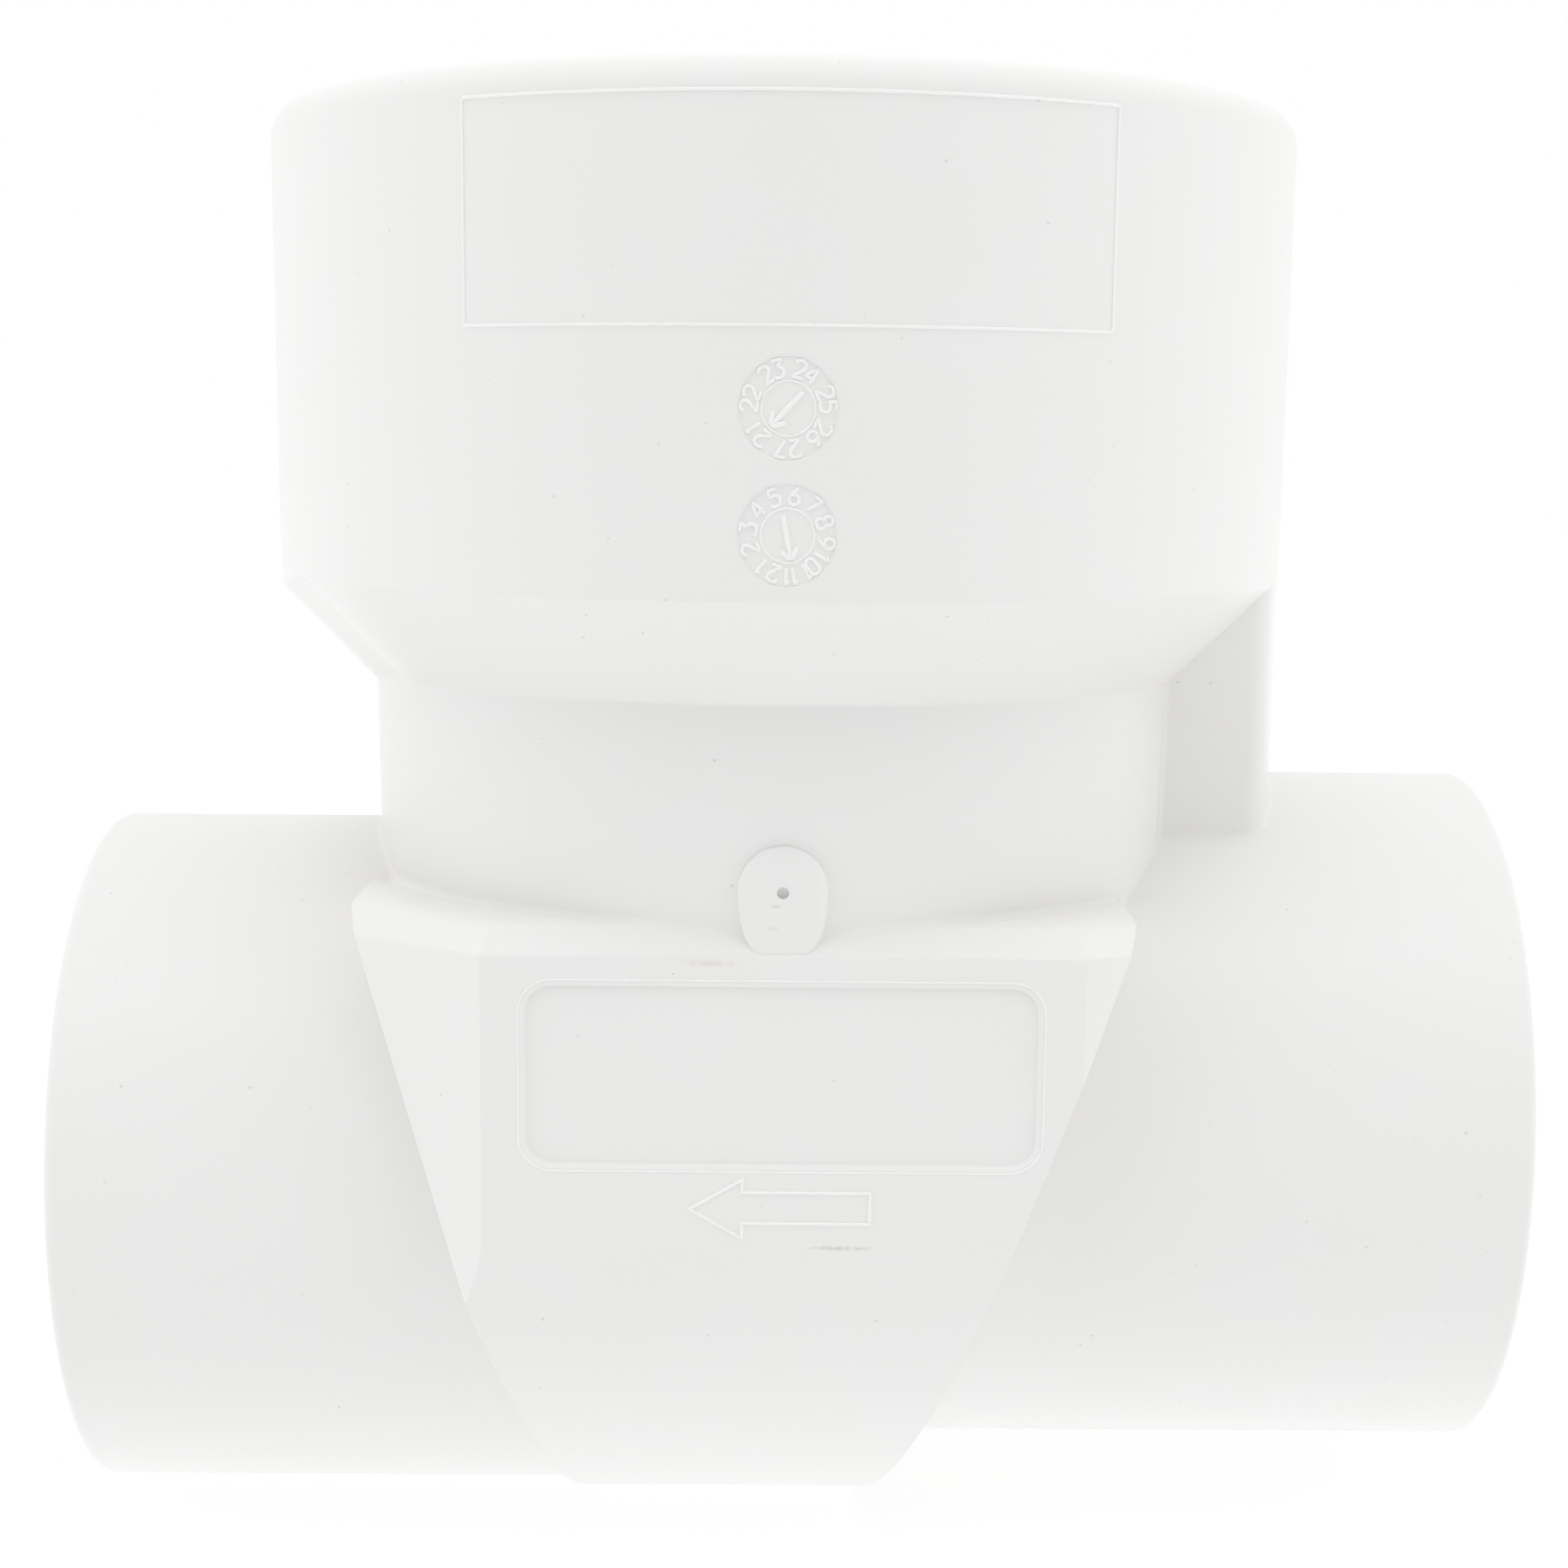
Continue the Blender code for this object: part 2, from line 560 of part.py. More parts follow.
def chamber():
    """The wedge-shaped space that the cartridge drops into."""
    space = prism("chamber", bulb_plan(CHAMBER_SIDE, WALL), "XY", -BEYOND, CHAMBER_ROOF)
    space = keep_common(space, belly_section("section", CHAMBER_ROUND, CHAMBER_ROOF + BEYOND))
    top = KEYWAY_FLOOR + BEYOND / 2
    space = join(space, cylinder("neck_foot", NECK_BORE / 2, CHAMBER_ROOF - WALL, top, RISER_SEGMENTS))
    return keep_common(space, wedge("walls", WALL, -BEYOND, top + BEYOND))


def build_valve_body(surface, parent):
    """The one-piece moulded body: two pipe hubs, the riser hub and the wedge-shaped bulb."""
    to_outlet = Matrix.Translation((0.0, 0.0, OUTLET_AXIS)) @ ALONG_MINUS_X
    to_inlet = Matrix.Translation((0.0, 0.0, INLET_AXIS)) @ ALONG_X
    outlet_root = -outlet_wall(0.0) - WALL
    inlet_root = inlet_wall(INLET_AXIS - HUB_OUTSIDE / 2) - WALL
    web_reach = RISER_HUB_OUTSIDE / 2 - WEB_STEP
    web_plan = sector_outline(WEB_WIDTH / 2, web_reach, WEB_CORNER, WEB_ROOT, ARC_STEPS)
    body = join(
        riser_outside(),
        pipe_hub("outlet_hub", outlet_root, OUTLET_REACH, to_outlet),
        pipe_hub("inlet_hub", inlet_root, INLET_REACH, to_inlet),
        bulb_outside(),
        prism("web", web_plan, "XY", CHAMBER_ROOF, RISER_HUB_BASE + GUSSET_THICKNESS),
        gusset(),
        gate_boss(),
    )
    outlet_end = -outlet_wall(OUTLET_AXIS - PIPE_BORE / 2, WALL) - WALL
    port_end = INLET_LIP + WALL / 2
    keyway_plan = sector_outline(KEYWAY_WIDTH / 2, KEYWAY_RADIUS, KEYWAY_CORNER, WEB_ROOT, ARC_STEPS)
    cut(
        body,
        riser_void(),
        chamber(),
        socket_void("outlet_space", outlet_end, OUTLET_REACH, to_outlet),
        inlet_void(to_inlet),
        cylinder("port", INLET_PORT / 2, -BEYOND / 2, port_end, PIPE_SEGMENTS, SEAT_FRAME @ ALONG_X),
        prism("keyway", keyway_plan, "XY", KEYWAY_FLOOR, RISER_SHOULDER + WEB_STEP),
        window_cutter(),
    )
    return finish(body, "valve_body", surface, parent)


def channel(name, half_width, high, reach):
    """A long bar with a U section about the outlet axis, as wide as the cage or its inside."""
    belly = arc((0.0, OUTLET_AXIS), half_width, math.pi, math.tau, BULB_STEPS)
    return prism(name, belly + [(half_width, high), (-half_width, high)], "YZ", -reach, reach)


def cage_frame():
    """Seat plate, cheeks, channel and outlet flange, left standing in the block that the cage may fill."""
    reach = OUTLET_REACH
    behind = ((-2 * reach, -reach, -reach), (-PLATE_BACK, reach, reach))
    frame = keep_common(
        wedge("cage", WALL + CAGE_GAP, -BEYOND, CAGE_TOP),
        belly_section("section", CHAMBER_ROUND - FLOOR_GAP, CAGE_TOP + BEYOND),
        cylinder("pass", CAGE_RADIUS, -BEYOND, CAGE_TOP + BEYOND, RISER_SEGMENTS),
    )
    flange = block("flange", (-reach, -reach, -BEYOND / 2), (0.0, reach, OUTLET_FLANGE_TOP))
    cut(flange, wedge("flange_face", WALL + CAGE_GAP + OUTLET_FLANGE, -BEYOND, CAGE_TOP))
    around = block("around", (-reach, -reach, -BEYOND), (reach, reach, CAGE_TOP + BEYOND))
    cut(around, channel("cheeks", CHEEK_OUTER, CAGE_TOP + 2 * BEYOND, 2 * reach), flange)
    cut(frame, keep_common(around, block("behind_plate", *behind, SEAT_FRAME)))
    inside = cylinder("inside", CAGE_RADIUS - CAGE_WALL, -BEYOND, CAGE_TOP + BEYOND, RISER_SEGMENTS)
    keep_common(inside, channel("swing", CHEEK_INNER, CAGE_TOP + 2 * BEYOND, reach))
    keep_common(inside, block("behind_plate", *behind, SEAT_FRAME))
    to_outlet = Matrix.Translation((0.0, 0.0, OUTLET_AXIS)) @ ALONG_MINUS_X
    opening = cylinder("opening", OUTLET_OPENING / 2, 0.0, reach, PIPE_SEGMENTS, to_outlet)
    return cut(frame, inside, opening)


def build_cage(surface, parent):
    """The cartridge's moulded frame with its seat lip, lugs, ears, tongue, port and groove."""
    along_seat = SEAT_FRAME @ ALONG_MINUS_X
    port = SEAT_PORT / 2
    lip_root = PLATE_BACK - SEAT_PLATE / 2
    cage = join(
        cage_frame(),
        cylinder("lip", port + SEAT_LIP_WIDTH, lip_root, LIP_TOP, RING_SEGMENTS, along_seat),
        lug(-1), lug(1), ear(-1), ear(1), tongue(),
    )
    lug_hole = PIN_RADIUS + TOUCH_GAP
    ear_hole = RIVET_RADIUS + TOUCH_GAP
    across = KEYWAY_WIDTH * 2
    rivet_line = Matrix.Translation(HANDLE_POINT) @ ALONG_Y
    cut(
        cage,
        cylinder("port", port, -BEYOND, LIP_TOP + BEYOND, RING_SEGMENTS, along_seat),
        o_ring_groove(along_seat),
        cylinder("pin_hole", lug_hole, -across, across, SMALL_SEGMENTS, HINGE_FRAME @ ALONG_Y),
        cylinder("rivet_hole", ear_hole, -across, across, SMALL_SEGMENTS, rivet_line),
    )
    return finish(cage, "cartridge_cage", surface, parent)


def lug(side):
    """One of the two ears of the seat plate that hold the hinge pin."""
    low, high = sorted((side * LUG_INNER, side * LUG_OUTER))
    reach = -HINGE_IN_SEAT.x - PLATE_BACK + SEAT_PLATE / 2
    outline = arc((0.0, 0.0), LUG_RADIUS, math.pi / 2, 3 * math.pi / 2, 2 * ARC_STEPS)
    outline += [(reach, -LUG_RADIUS), (reach, LUG_RADIUS)]
    return prism("lug", outline, "XZ", low, high, HINGE_FRAME)


def ear(side):
    """One of the two ears on the cheeks that hold the handle."""
    low, high = sorted((side * (CHEEK_INNER + EAR_INSET), side * (CHEEK_OUTER - EAR_INSET)))
    outline = arc((0.0, HANDLE_HEIGHT), EAR_RADIUS, 0.0, math.pi, 2 * ARC_STEPS)
    outline += [(-EAR_RADIUS, CAGE_TOP - CAGE_WALL), (EAR_RADIUS, CAGE_TOP - CAGE_WALL)]
    return prism("ear", outline, "XZ", low, high)


def tongue():
    """The key on top of the seat plate that drops down the body's keyway."""
    low = KEYWAY_FLOOR + TONGUE_GAP
    high = low + TONGUE_THICKNESS
    root_low = CAGE_TOP - 2 * SEAT_PLATE
    face = inlet_wall(root_low, WALL + CAGE_GAP) - MM
    outline = [
        (TONGUE_ROOT, root_low),
        (face, root_low),
        (face, low),
        (TONGUE_REACH, low),
        (TONGUE_REACH, high - TONGUE_BEVEL),
        (TONGUE_REACH - TONGUE_BEVEL, high),
        (TONGUE_ROOT, high),
    ]
    half = KEYWAY_WIDTH / 2 - 2 * TONGUE_GAP
    return prism("tongue", outline, "XZ", -half, half)


def o_ring_groove(along_seat):
    """The groove in the inlet face of the seat plate."""
    half = O_RING_SECTION / 2 + TOUCH_GAP
    floor = TOUCH_GAP + O_RING_SECTION + TOUCH_GAP
    return tube("groove", O_RING_RADIUS - half, O_RING_RADIUS + half, -MM, floor, RING_SEGMENTS, along_seat)


def build_o_ring(surface, parent):
    """The face seal in the seat plate's groove, as pressed against the inlet wall."""
    radius = O_RING_SECTION / 2
    profile = arc((O_RING_RADIUS, TOUCH_GAP + radius), radius, 0.0, math.tau, 2 * ARC_STEPS)[:-1]
    ring = turned("ring", profile, RING_SEGMENTS, SEAT_FRAME @ ALONG_MINUS_X, closed=True)
    return finish(ring, "cage_o_ring", surface, parent)


def screw_places():
    """Where the retainer screws sit, in the seat frame."""
    turns = [math.tau * (number + 0.5) / SCREW_COUNT for number in range(SCREW_COUNT)]
    places = [(0.0, SCREW_CIRCLE * math.cos(turn), SCREW_CIRCLE * math.sin(turn)) for turn in turns]
    return [Matrix.Translation(place) for place in places]


def build_flapper(surface, parent):
    """The flapper: a ribbed disc with a rim, a front boss, screw bosses and two hinge knuckles."""
    to_hinge = SEAT_TO_HINGE @ ALONG_MINUS_X
    rim = FLAPPER_RADIUS - FLAPPER_RIM
    boss = SEAL_INNER_RADIUS - TOUCH_GAP
    profile = [(0.0, SEAL_FRONT), (boss, SEAL_FRONT), (boss, DISC_FRONT), (FLAPPER_RADIUS, DISC_FRONT)]
    profile += [(FLAPPER_RADIUS, RIB_BACK), (rim, RIB_BACK), (rim, DISC_BACK)]
    profile += [(FLAPPER_HUB_RADIUS, DISC_BACK), (FLAPPER_HUB_RADIUS, RIB_BACK), (0.0, RIB_BACK)]
    flapper = turned("disc", profile, RING_SEGMENTS, to_hinge)
    middle = DISC_BACK - FLAPPER_THICKNESS / 2
    for number in range(FLAPPER_RIBS):
        turn = Matrix.Rotation(math.tau * number / FLAPPER_RIBS, 4, "X")
        rib = block("rib", (-RIB_BACK, -FLAPPER_RIB / 2, FLAPPER_HUB_RADIUS / 2),
                    (-middle, FLAPPER_RIB / 2, rim + FLAPPER_RIM / 2), SEAT_TO_HINGE @ turn)
        join(flapper, rib)
    for place in screw_places():
        along_screw = SEAT_TO_HINGE @ place @ ALONG_MINUS_X
        join(flapper, cylinder("boss", SCREW_BOSS_RADIUS, middle, RIB_BACK, SCREW_SEGMENTS, along_screw))
    for side in (-1, 1):
        low, high = sorted((side * KNUCKLE_INNER, side * KNUCKLE_OUTER))
        knuckle = cylinder("knuckle", KNUCKLE_RADIUS, low, high, SMALL_SEGMENTS, ALONG_Y)
        arm = block("arm", (-HINGE_IN_SEAT.x - RIB_BACK, low + ARM_INSET, -ARM_REACH),
                    (-HINGE_IN_SEAT.x - DISC_FRONT - ARM_INSET, high - ARM_INSET, 0.0))
        join(flapper, arm, knuckle)
        bore = BUSH_OUTSIDE + TOUCH_GAP
        cut(flapper, cylinder("bore", bore, low - MM, high + MM, SMALL_SEGMENTS, ALONG_Y))
    hole_end = RETAINER_FRONT + SCREW_DEPTH + TOUCH_GAP
    for place in screw_places():
        along_screw = SEAT_TO_HINGE @ place @ ALONG_MINUS_X
        cut(flapper, cylinder("hole", SCREW_SHANK + TOUCH_GAP, 0.0, hole_end, SCREW_SEGMENTS, along_screw))
    return finish(flapper, "flapper", surface, parent)


def build_flapper_seal(surface, parent):
    """The flat rubber ring that closes on the seat lip."""
    seal = tube("seal", SEAL_INNER_RADIUS, SEAL_RADIUS, SEAL_FRONT, SEAL_FRONT + SEAL_THICKNESS,
                RING_SEGMENTS, SEAT_TO_HINGE @ ALONG_MINUS_X)
    return finish(seal, "flapper_seal", surface, parent)


def build_retainer(surface, parent):
    """The round plate that clamps the seal to the flapper."""
    to_hinge = SEAT_TO_HINGE @ ALONG_MINUS_X
    radius = SEAT_PORT / 2 - RETAINER_CLEARANCE
    profile = [(0.0, RETAINER_FRONT), (radius - RETAINER_BEVEL, RETAINER_FRONT)]
    profile += [(radius, RETAINER_FRONT + RETAINER_BEVEL), (radius, RETAINER_BACK), (0.0, RETAINER_BACK)]
    plate = turned("retainer", profile, RING_SEGMENTS, to_hinge)
    hole_end = RETAINER_BACK + MM
    for place in screw_places():
        along_screw = SEAT_TO_HINGE @ place @ ALONG_MINUS_X
        cut(plate, cylinder("hole", SCREW_SHANK + TOUCH_GAP, 0.0, hole_end, SCREW_SEGMENTS, along_screw))
    return finish(plate, "seal_retainer", surface, parent)


def build_retainer_screws(surface, parent):
    """The pan-head screws through the retainer into the flapper's bosses."""
    seat = RETAINER_FRONT - TOUCH_GAP
    tip = RETAINER_FRONT + SCREW_DEPTH
    crown = SCREW_CROWN_RADIUS
    profile = [(0.0, seat - SCREW_HEAD_HEIGHT), (crown, seat - SCREW_HEAD_HEIGHT)]
    profile += [(SCREW_HEAD_RADIUS, seat - SCREW_HEAD_HEIGHT / 2), (SCREW_HEAD_RADIUS, seat)]
    profile += [(SCREW_SHANK, seat), (SCREW_SHANK, tip), (0.0, tip)]
    for number, place in enumerate(screw_places(), 1):
        screw = turned("screw", profile, SCREW_SEGMENTS, SEAT_TO_HINGE @ place @ ALONG_MINUS_X)
        finish(screw, f"retainer_screw_{number}", surface, parent)


def build_hinge(surface, bush_surface, cage_parent, flapper_parent):
    """The hinge pin with its clips, which stay with the cage, and the flapper's bushes."""
    end = CLIP_OUTER + PIN_END
    neck = PIN_RADIUS - CLIP_GROOVE
    groove_in = CLIP_INNER - TOUCH_GAP / 2
    groove_out = CLIP_OUTER + TOUCH_GAP / 2
    half = [(PIN_RADIUS, groove_in), (neck, groove_in), (neck, groove_out), (PIN_RADIUS, groove_out),
            (PIN_RADIUS, end - PIN_END / 4), (PIN_RADIUS - PIN_END / 4, end), (0.0, end)]
    profile = [(radius, -height) for radius, height in reversed(half)] + half
    pin = turned("pin", profile, SMALL_SEGMENTS, HINGE_FRAME @ ALONG_Y)
    finish(pin, "hinge_pin", surface, cage_parent)
    for side, word in ((-1, "front"), (1, "rear")):
        low, high = sorted((side * CLIP_INNER, side * CLIP_OUTER))
        clip = tube("clip", neck + TOUCH_GAP, CLIP_RADIUS, low, high, SMALL_SEGMENTS, HINGE_FRAME @ ALONG_Y)
        slot_top = (CLIP_SLOT / 2, high + MM, 2 * CLIP_RADIUS)
        slot = block("slot", (-CLIP_SLOT / 2, low - MM, 0.0), slot_top, HINGE_FRAME)
        finish(cut(clip, slot), f"hinge_clip_{word}", surface, cage_parent)
        hole = PIN_RADIUS + TOUCH_GAP
        near = side * KNUCKLE_INNER
        far = side * FLANGE_INNER
        lip = side * (FLANGE_INNER + BUSH_FLANGE)
        ring = [(hole, near), (BUSH_OUTSIDE, near), (BUSH_OUTSIDE, far), (BUSH_FLANGE_RADIUS, far),
                (BUSH_FLANGE_RADIUS, lip), (hole, lip)]
        bush = turned("bush", ring, SMALL_SEGMENTS, ALONG_Y, closed=True)
        finish(bush, f"hinge_bush_{word}", bush_surface, flapper_parent)


def handle_route():
    """The handle's wire from one eye round the bail to the other, folded down on the cage."""
    leg = (EYE_INNER + EYE_OUTER) / 2
    bend = HANDLE_BEND
    near = arc((bend - HANDLE_REACH, bend - leg), bend, -math.pi / 2, -math.pi, 2 * ARC_STEPS)
    far = [(x, -y) for x, y in reversed(near)]
    return [(-EYE_RADIUS / 2, -leg)] + near + far + [(-EYE_RADIUS / 2, leg)]


def build_handle(surface, rivet_surface, handle_parent, cage_parent):
    """The wire bail with its two eyes, and the rivets that hold it to the cheeks."""
    route = handle_route()
    curve = bpy.data.curves.new("bail", "CURVE")
    curve.dimensions = "3D"
    curve.bevel_depth = WIRE_RADIUS
    curve.bevel_resolution = 2
    curve.use_fill_caps = True
    line = curve.splines.new("POLY")
    line.points.add(len(route) - 1)
    for point, (x, y) in zip(line.points, route):
        point.co = (x, y, 0.0, 1.0)
    wire = bpy.data.objects.new("wire", curve)
    bpy.context.scene.collection.objects.link(wire)
    bpy.context.view_layer.update()
    mesh = bpy.data.meshes.new_from_object(wire.evaluated_get(bpy.context.evaluated_depsgraph_get()))
    bpy.data.objects.remove(wire, do_unlink=True)
    shape = bmesh.new()
    shape.from_mesh(mesh)
    bmesh.ops.remove_doubles(shape, verts=shape.verts, dist=1e-6)
    handle = object_from(shape, "handle")
    for side, word in ((-1, "front"), (1, "rear")):
        low, high = sorted((side * EYE_INNER, side * EYE_OUTER))
        join(handle, cylinder("eye", EYE_RADIUS, low, high, SMALL_SEGMENTS, ALONG_Y))
        hole = RIVET_RADIUS + TOUCH_GAP
        cut(handle, cylinder("hole", hole, low - MM, high + MM, SMALL_SEGMENTS, ALONG_Y))
        tail = side * (EYE_INNER - TOUCH_GAP)
        tail_end = side * (EYE_INNER - TOUCH_GAP - RIVET_HEAD)
        head = side * (CHEEK_OUTER + TOUCH_GAP)
        head_end = side * (CHEEK_OUTER + TOUCH_GAP + RIVET_HEAD)
        profile = [(0.0, tail_end), (RIVET_TAIL_RADIUS, tail_end), (RIVET_TAIL_RADIUS, tail),
                   (RIVET_RADIUS, tail), (RIVET_RADIUS, head), (RIVET_HEAD_RADIUS, head),
                   (RIVET_CROWN_RADIUS, head_end), (0.0, head_end)]
        rivet = turned("rivet", profile, SMALL_SEGMENTS, Matrix.Translation(HANDLE_POINT) @ ALONG_Y)
        finish(rivet, f"handle_rivet_{word}", rivet_surface, cage_parent)
    return finish(handle, "lift_handle", surface, handle_parent)


def main():
    clear_scene()
    white = material("white_pvc", (0.86, 0.87, 0.88), 0.35)
    cage_white = material("cage_pvc", (0.78, 0.80, 0.82), 0.4)
    flapper_grey = material("flapper_pvc", (0.55, 0.58, 0.61), 0.4)
    rubber = material("black_rubber", (0.03, 0.03, 0.03), 0.7)
    steel = material("stainless_steel", (0.62, 0.61, 0.59), 0.28, 1.0)
    acetal = material("white_acetal", (0.8, 0.79, 0.74), 0.45)

    riser = empty("riser_axis", Matrix.Translation((RISER_X, 0.0, 0.0)))
    hinge = empty("flapper_hinge", HINGE_FRAME, riser)
    pivot = empty("handle_pivot", Matrix.Translation(HANDLE_POINT), riser)

    build_valve_body(white, riser)
    build_cage(cage_white, riser)
    build_o_ring(rubber, riser)
    build_flapper(flapper_grey, hinge)
    build_flapper_seal(rubber, hinge)
    build_retainer(steel, hinge)
    build_retainer_screws(steel, hinge)
    build_hinge(steel, acetal, riser, hinge)
    build_handle(steel, steel, pivot, riser)


main()
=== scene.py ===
"""Looks of the backwater valve: the moulded body in full detail, and the finish of every piece."""

import json
import math

import bmesh
import bpy
import numpy as np
from mathutils import Euler, Matrix, Vector


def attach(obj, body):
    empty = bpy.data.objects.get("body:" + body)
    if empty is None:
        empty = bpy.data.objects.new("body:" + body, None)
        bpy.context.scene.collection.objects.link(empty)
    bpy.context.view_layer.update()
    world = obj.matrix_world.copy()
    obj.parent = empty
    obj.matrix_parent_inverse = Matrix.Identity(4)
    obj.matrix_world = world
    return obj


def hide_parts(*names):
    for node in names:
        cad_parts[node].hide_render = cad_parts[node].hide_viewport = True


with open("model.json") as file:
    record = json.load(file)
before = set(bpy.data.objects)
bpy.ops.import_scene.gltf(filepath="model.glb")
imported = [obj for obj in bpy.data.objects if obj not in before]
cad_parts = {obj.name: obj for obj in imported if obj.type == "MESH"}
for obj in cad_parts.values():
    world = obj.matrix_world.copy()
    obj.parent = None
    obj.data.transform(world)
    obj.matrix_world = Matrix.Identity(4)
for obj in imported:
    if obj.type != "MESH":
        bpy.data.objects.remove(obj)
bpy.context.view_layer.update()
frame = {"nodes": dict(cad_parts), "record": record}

MM = 0.001

# Pipe hubs
HUB_OUTSIDE = 127.0
PIPE_SOCKET_BORE = 114.8
PIPE_SOCKET_DEPTH = 44.5
PIPE_BORE = 101.6
HUB_EDGE_ROUND = 2.0
SOCKET_LEAD = 1.0
OUTLET_REACH = 125.7
INLET_REACH = 130.4
INLET_RISE = 10.0

# Riser hub, cone and neck
RISER_HUB_OUTSIDE = 183.8
RISER_SOCKET_BORE = 168.8
RISER_SOCKET_DEPTH = 78.5
RISER_PIPE_BORE = 154.0
RISER_TOP = 256.0
RISER_RIM_ROUND = 5.5
RISER_SOCKET_LEAD = 1.5
RISER_HUB_BASE = 174.5
NECK_TOP = 157.0
NECK_TOP_OUTSIDE = 150.0
NECK_FOOT_OUTSIDE = 149.0
NECK_BORE = 138.0
CONE_FOOT_ROUND = 1.2
CONE_HEAD_ROUND = 1.0
CONE_MARGIN = 2.0

# Bulb
WALL = 6.0
BULB_ROUND = 78.5
BULB_SIDE = 77.6
BULB_ROOF = 120.3
BULB_ROOF_BEVEL = 4.3
PAD_OUTLET_EDGE = 48.8
PAD_INLET_EDGE = 50.3
OUTLET_CHAMFER = math.radians(37.5)
INLET_CHAMFER = math.radians(30.0)
OUTLET_WALL_TILT = math.radians(18.2)
INLET_WALL_TILT = math.radians(20.3)
OUTLET_WALL_AT_AXIS = 54.8
INLET_WALL_AT_AXIS = 39.0
OUTLET_PIPE_DROP = 0.5
INLET_PORT = 96.0
INLET_LIP = 6.0
CHAMBER_CORNER = 1.0

# Web, keyway and gusset
WEB_WIDTH = 60.0
WEB_CORNER = 4.0
WEB_STEP = 0.25
KEYWAY_WIDTH = 48.0
KEYWAY_RADIUS = 83.5
KEYWAY_CORNER = 3.0
KEYWAY_FLOOR = 134.0
WEB_ROOT = 45.0
GUSSET_HALF_ANGLE = math.radians(14.0)
GUSSET_FLANK = math.radians(13.0)
GUSSET_THICKNESS = 1.2
GUSSET_GROOVE = 0.6
GUSSET_GROOVE_SPAN = (math.radians(7.0), math.radians(3.5))

# Moulded details of the front
WINDOW_LENGTH = 86.0
WINDOW_HEIGHT = 31.6
WINDOW_CENTRE_X = 0.6
WINDOW_CENTRE_Z = 96.0
WINDOW_CORNER = 5.3
WINDOW_DEPTH = 0.9
WINDOW_DRAFT = 0.9
GATE_RADIUS = 7.4
GATE_CENTRE_X = 0.6
GATE_CENTRE_Z = 126.6
GATE_FACE = 77.0
GATE_EDGE_ROUND = 2.2
GATE_FOOT_WIDTH = 6.8
GATE_FOOT_DROP = 11.2
GATE_FOOT_LIFT = 0.75
GATE_FOOT_SWEEP = 3.9
GATE_CROWN = 0.2
GATE_CUTS = ((0.10, 0.0, 0.12), (-0.112, -0.212, 0.84), (-0.112, 0.049, 0.685))
GATE_LAST_ROW = 0.02
GATE_HOLE_RADIUS = 0.95
GATE_HOLE_DEPTH = 0.9
GATE_HOLE_ABOVE = 2.0

# Softened edges and joints
BULB_EDGE_ROUND = 1.2
BULB_EDGE_SEGMENTS = 3
BULB_EDGE_ANGLE = math.radians(20.0)
ROOF_LOW_ROUND = 1.0
ROOF_HIGH_ROUND = 5.0
ROOF_EDGE_STEPS = 6
NECK_FOOT_FILLET = 1.6
WEB_FOOT_FILLET = 1.2
WEB_ROOT_FILLET = 1.6

# Raised lines as (half width, height), and the two date dials let into the hub's wall. Each digit has
# its corners in a field 6 wide and 10 tall, the round of each corner, and whether its line is closed.
# A dial's marks are numbers with their angles in degrees, and its pointer is three strokes.
LABEL_LEFT = -52.9
LABEL_RIGHT = 54.5
LABEL_LOW = 216.1
LABEL_HIGH = 250.3
LABEL_LINE = (0.26, 0.24)
LABEL_CORNER = 0.6
DIAL_X = 0.6
DIAL_HEIGHTS = (203.75, 184.6)
DIAL_RADIUS = 8.1
DIAL_DEPTH = 0.35
DIAL_DRAFT = 0.35
DIAL_MARGIN = 2.0
DIAL_CORE_REACH = 12.0
DIAL_RING = 4.15
DIAL_RING_LINE = (0.16, 0.18)
DIGIT_RADIUS = 6.1
DIGIT_TALL = 2.6
DIGIT_STEP = 2.05
DIGIT_LINE = (0.27, 0.30)
DIGIT_FIELD = (6.0, 10.0)
DIGIT_ROUND_SHARE = 0.98
DIGIT_STROKES = {
    "0": (((0, 0), (6, 0), (6, 10), (0, 10)), (3, 3, 3, 3), True),
    "1": (((1.4, 7.8), (3.4, 10), (3.4, 0)), (0, 0.2, 0), False),
    "2": (((0, 7.4), (0, 10), (6, 10), (6, 5.8), (0, 0), (6, 0)), (0, 2.5, 2.9, 2, 0.3, 0), False),
    "3": (((0, 10), (5.8, 10), (3, 6), (6, 6), (6, 0), (0, 0), (0, 1.8)),
          (0, 0.3, 0.3, 2.8, 2.9, 1.7, 0), False),
    "4": (((4.4, 0), (4.4, 10), (0, 3), (6.2, 3)), (0, 0.3, 0.3, 0), False),
    "5": (((5.6, 10), (0.8, 10), (0.4, 5.8), (6, 6.6), (6, 0), (0, 0), (0, 1.6)),
          (0, 0.3, 0.3, 2.8, 2.9, 1.5, 0), False),
    "6": (((4.4, 10), (0, 4.4), (0, 0), (6, 0), (6, 6), (0, 6), (0, 3)),
          (0, 3, 2.9, 2.9, 2.9, 2.9, 0), False),
    "7": (((0, 10), (6, 10), (1.8, 0)), (0, 0.3, 0), False),
    "8": (((6, 0), (6, 5), (0.4, 5.4), (0.4, 10), (5.6, 10), (5.6, 5.4), (0, 5), (0, 0)),
          (2.4, 2.4, 2.1, 2.2, 2.2, 2.1, 2.4, 2.4), True),
    "9": (((1.6, 0), (6, 5.6), (6, 10), (0, 10), (0, 4), (6, 4), (6, 7)),
          (0, 3, 2.9, 2.9, 2.9, 2.9, 0), False),
}
YEARS = tuple((str(number), 115.7 - 51.43 * (number - 23)) for number in range(21, 28))
MONTHS = tuple((str(number), 260.0 - 30.0 * number) for number in range(1, 13))
POINTER_LINE = (0.40, 0.36)
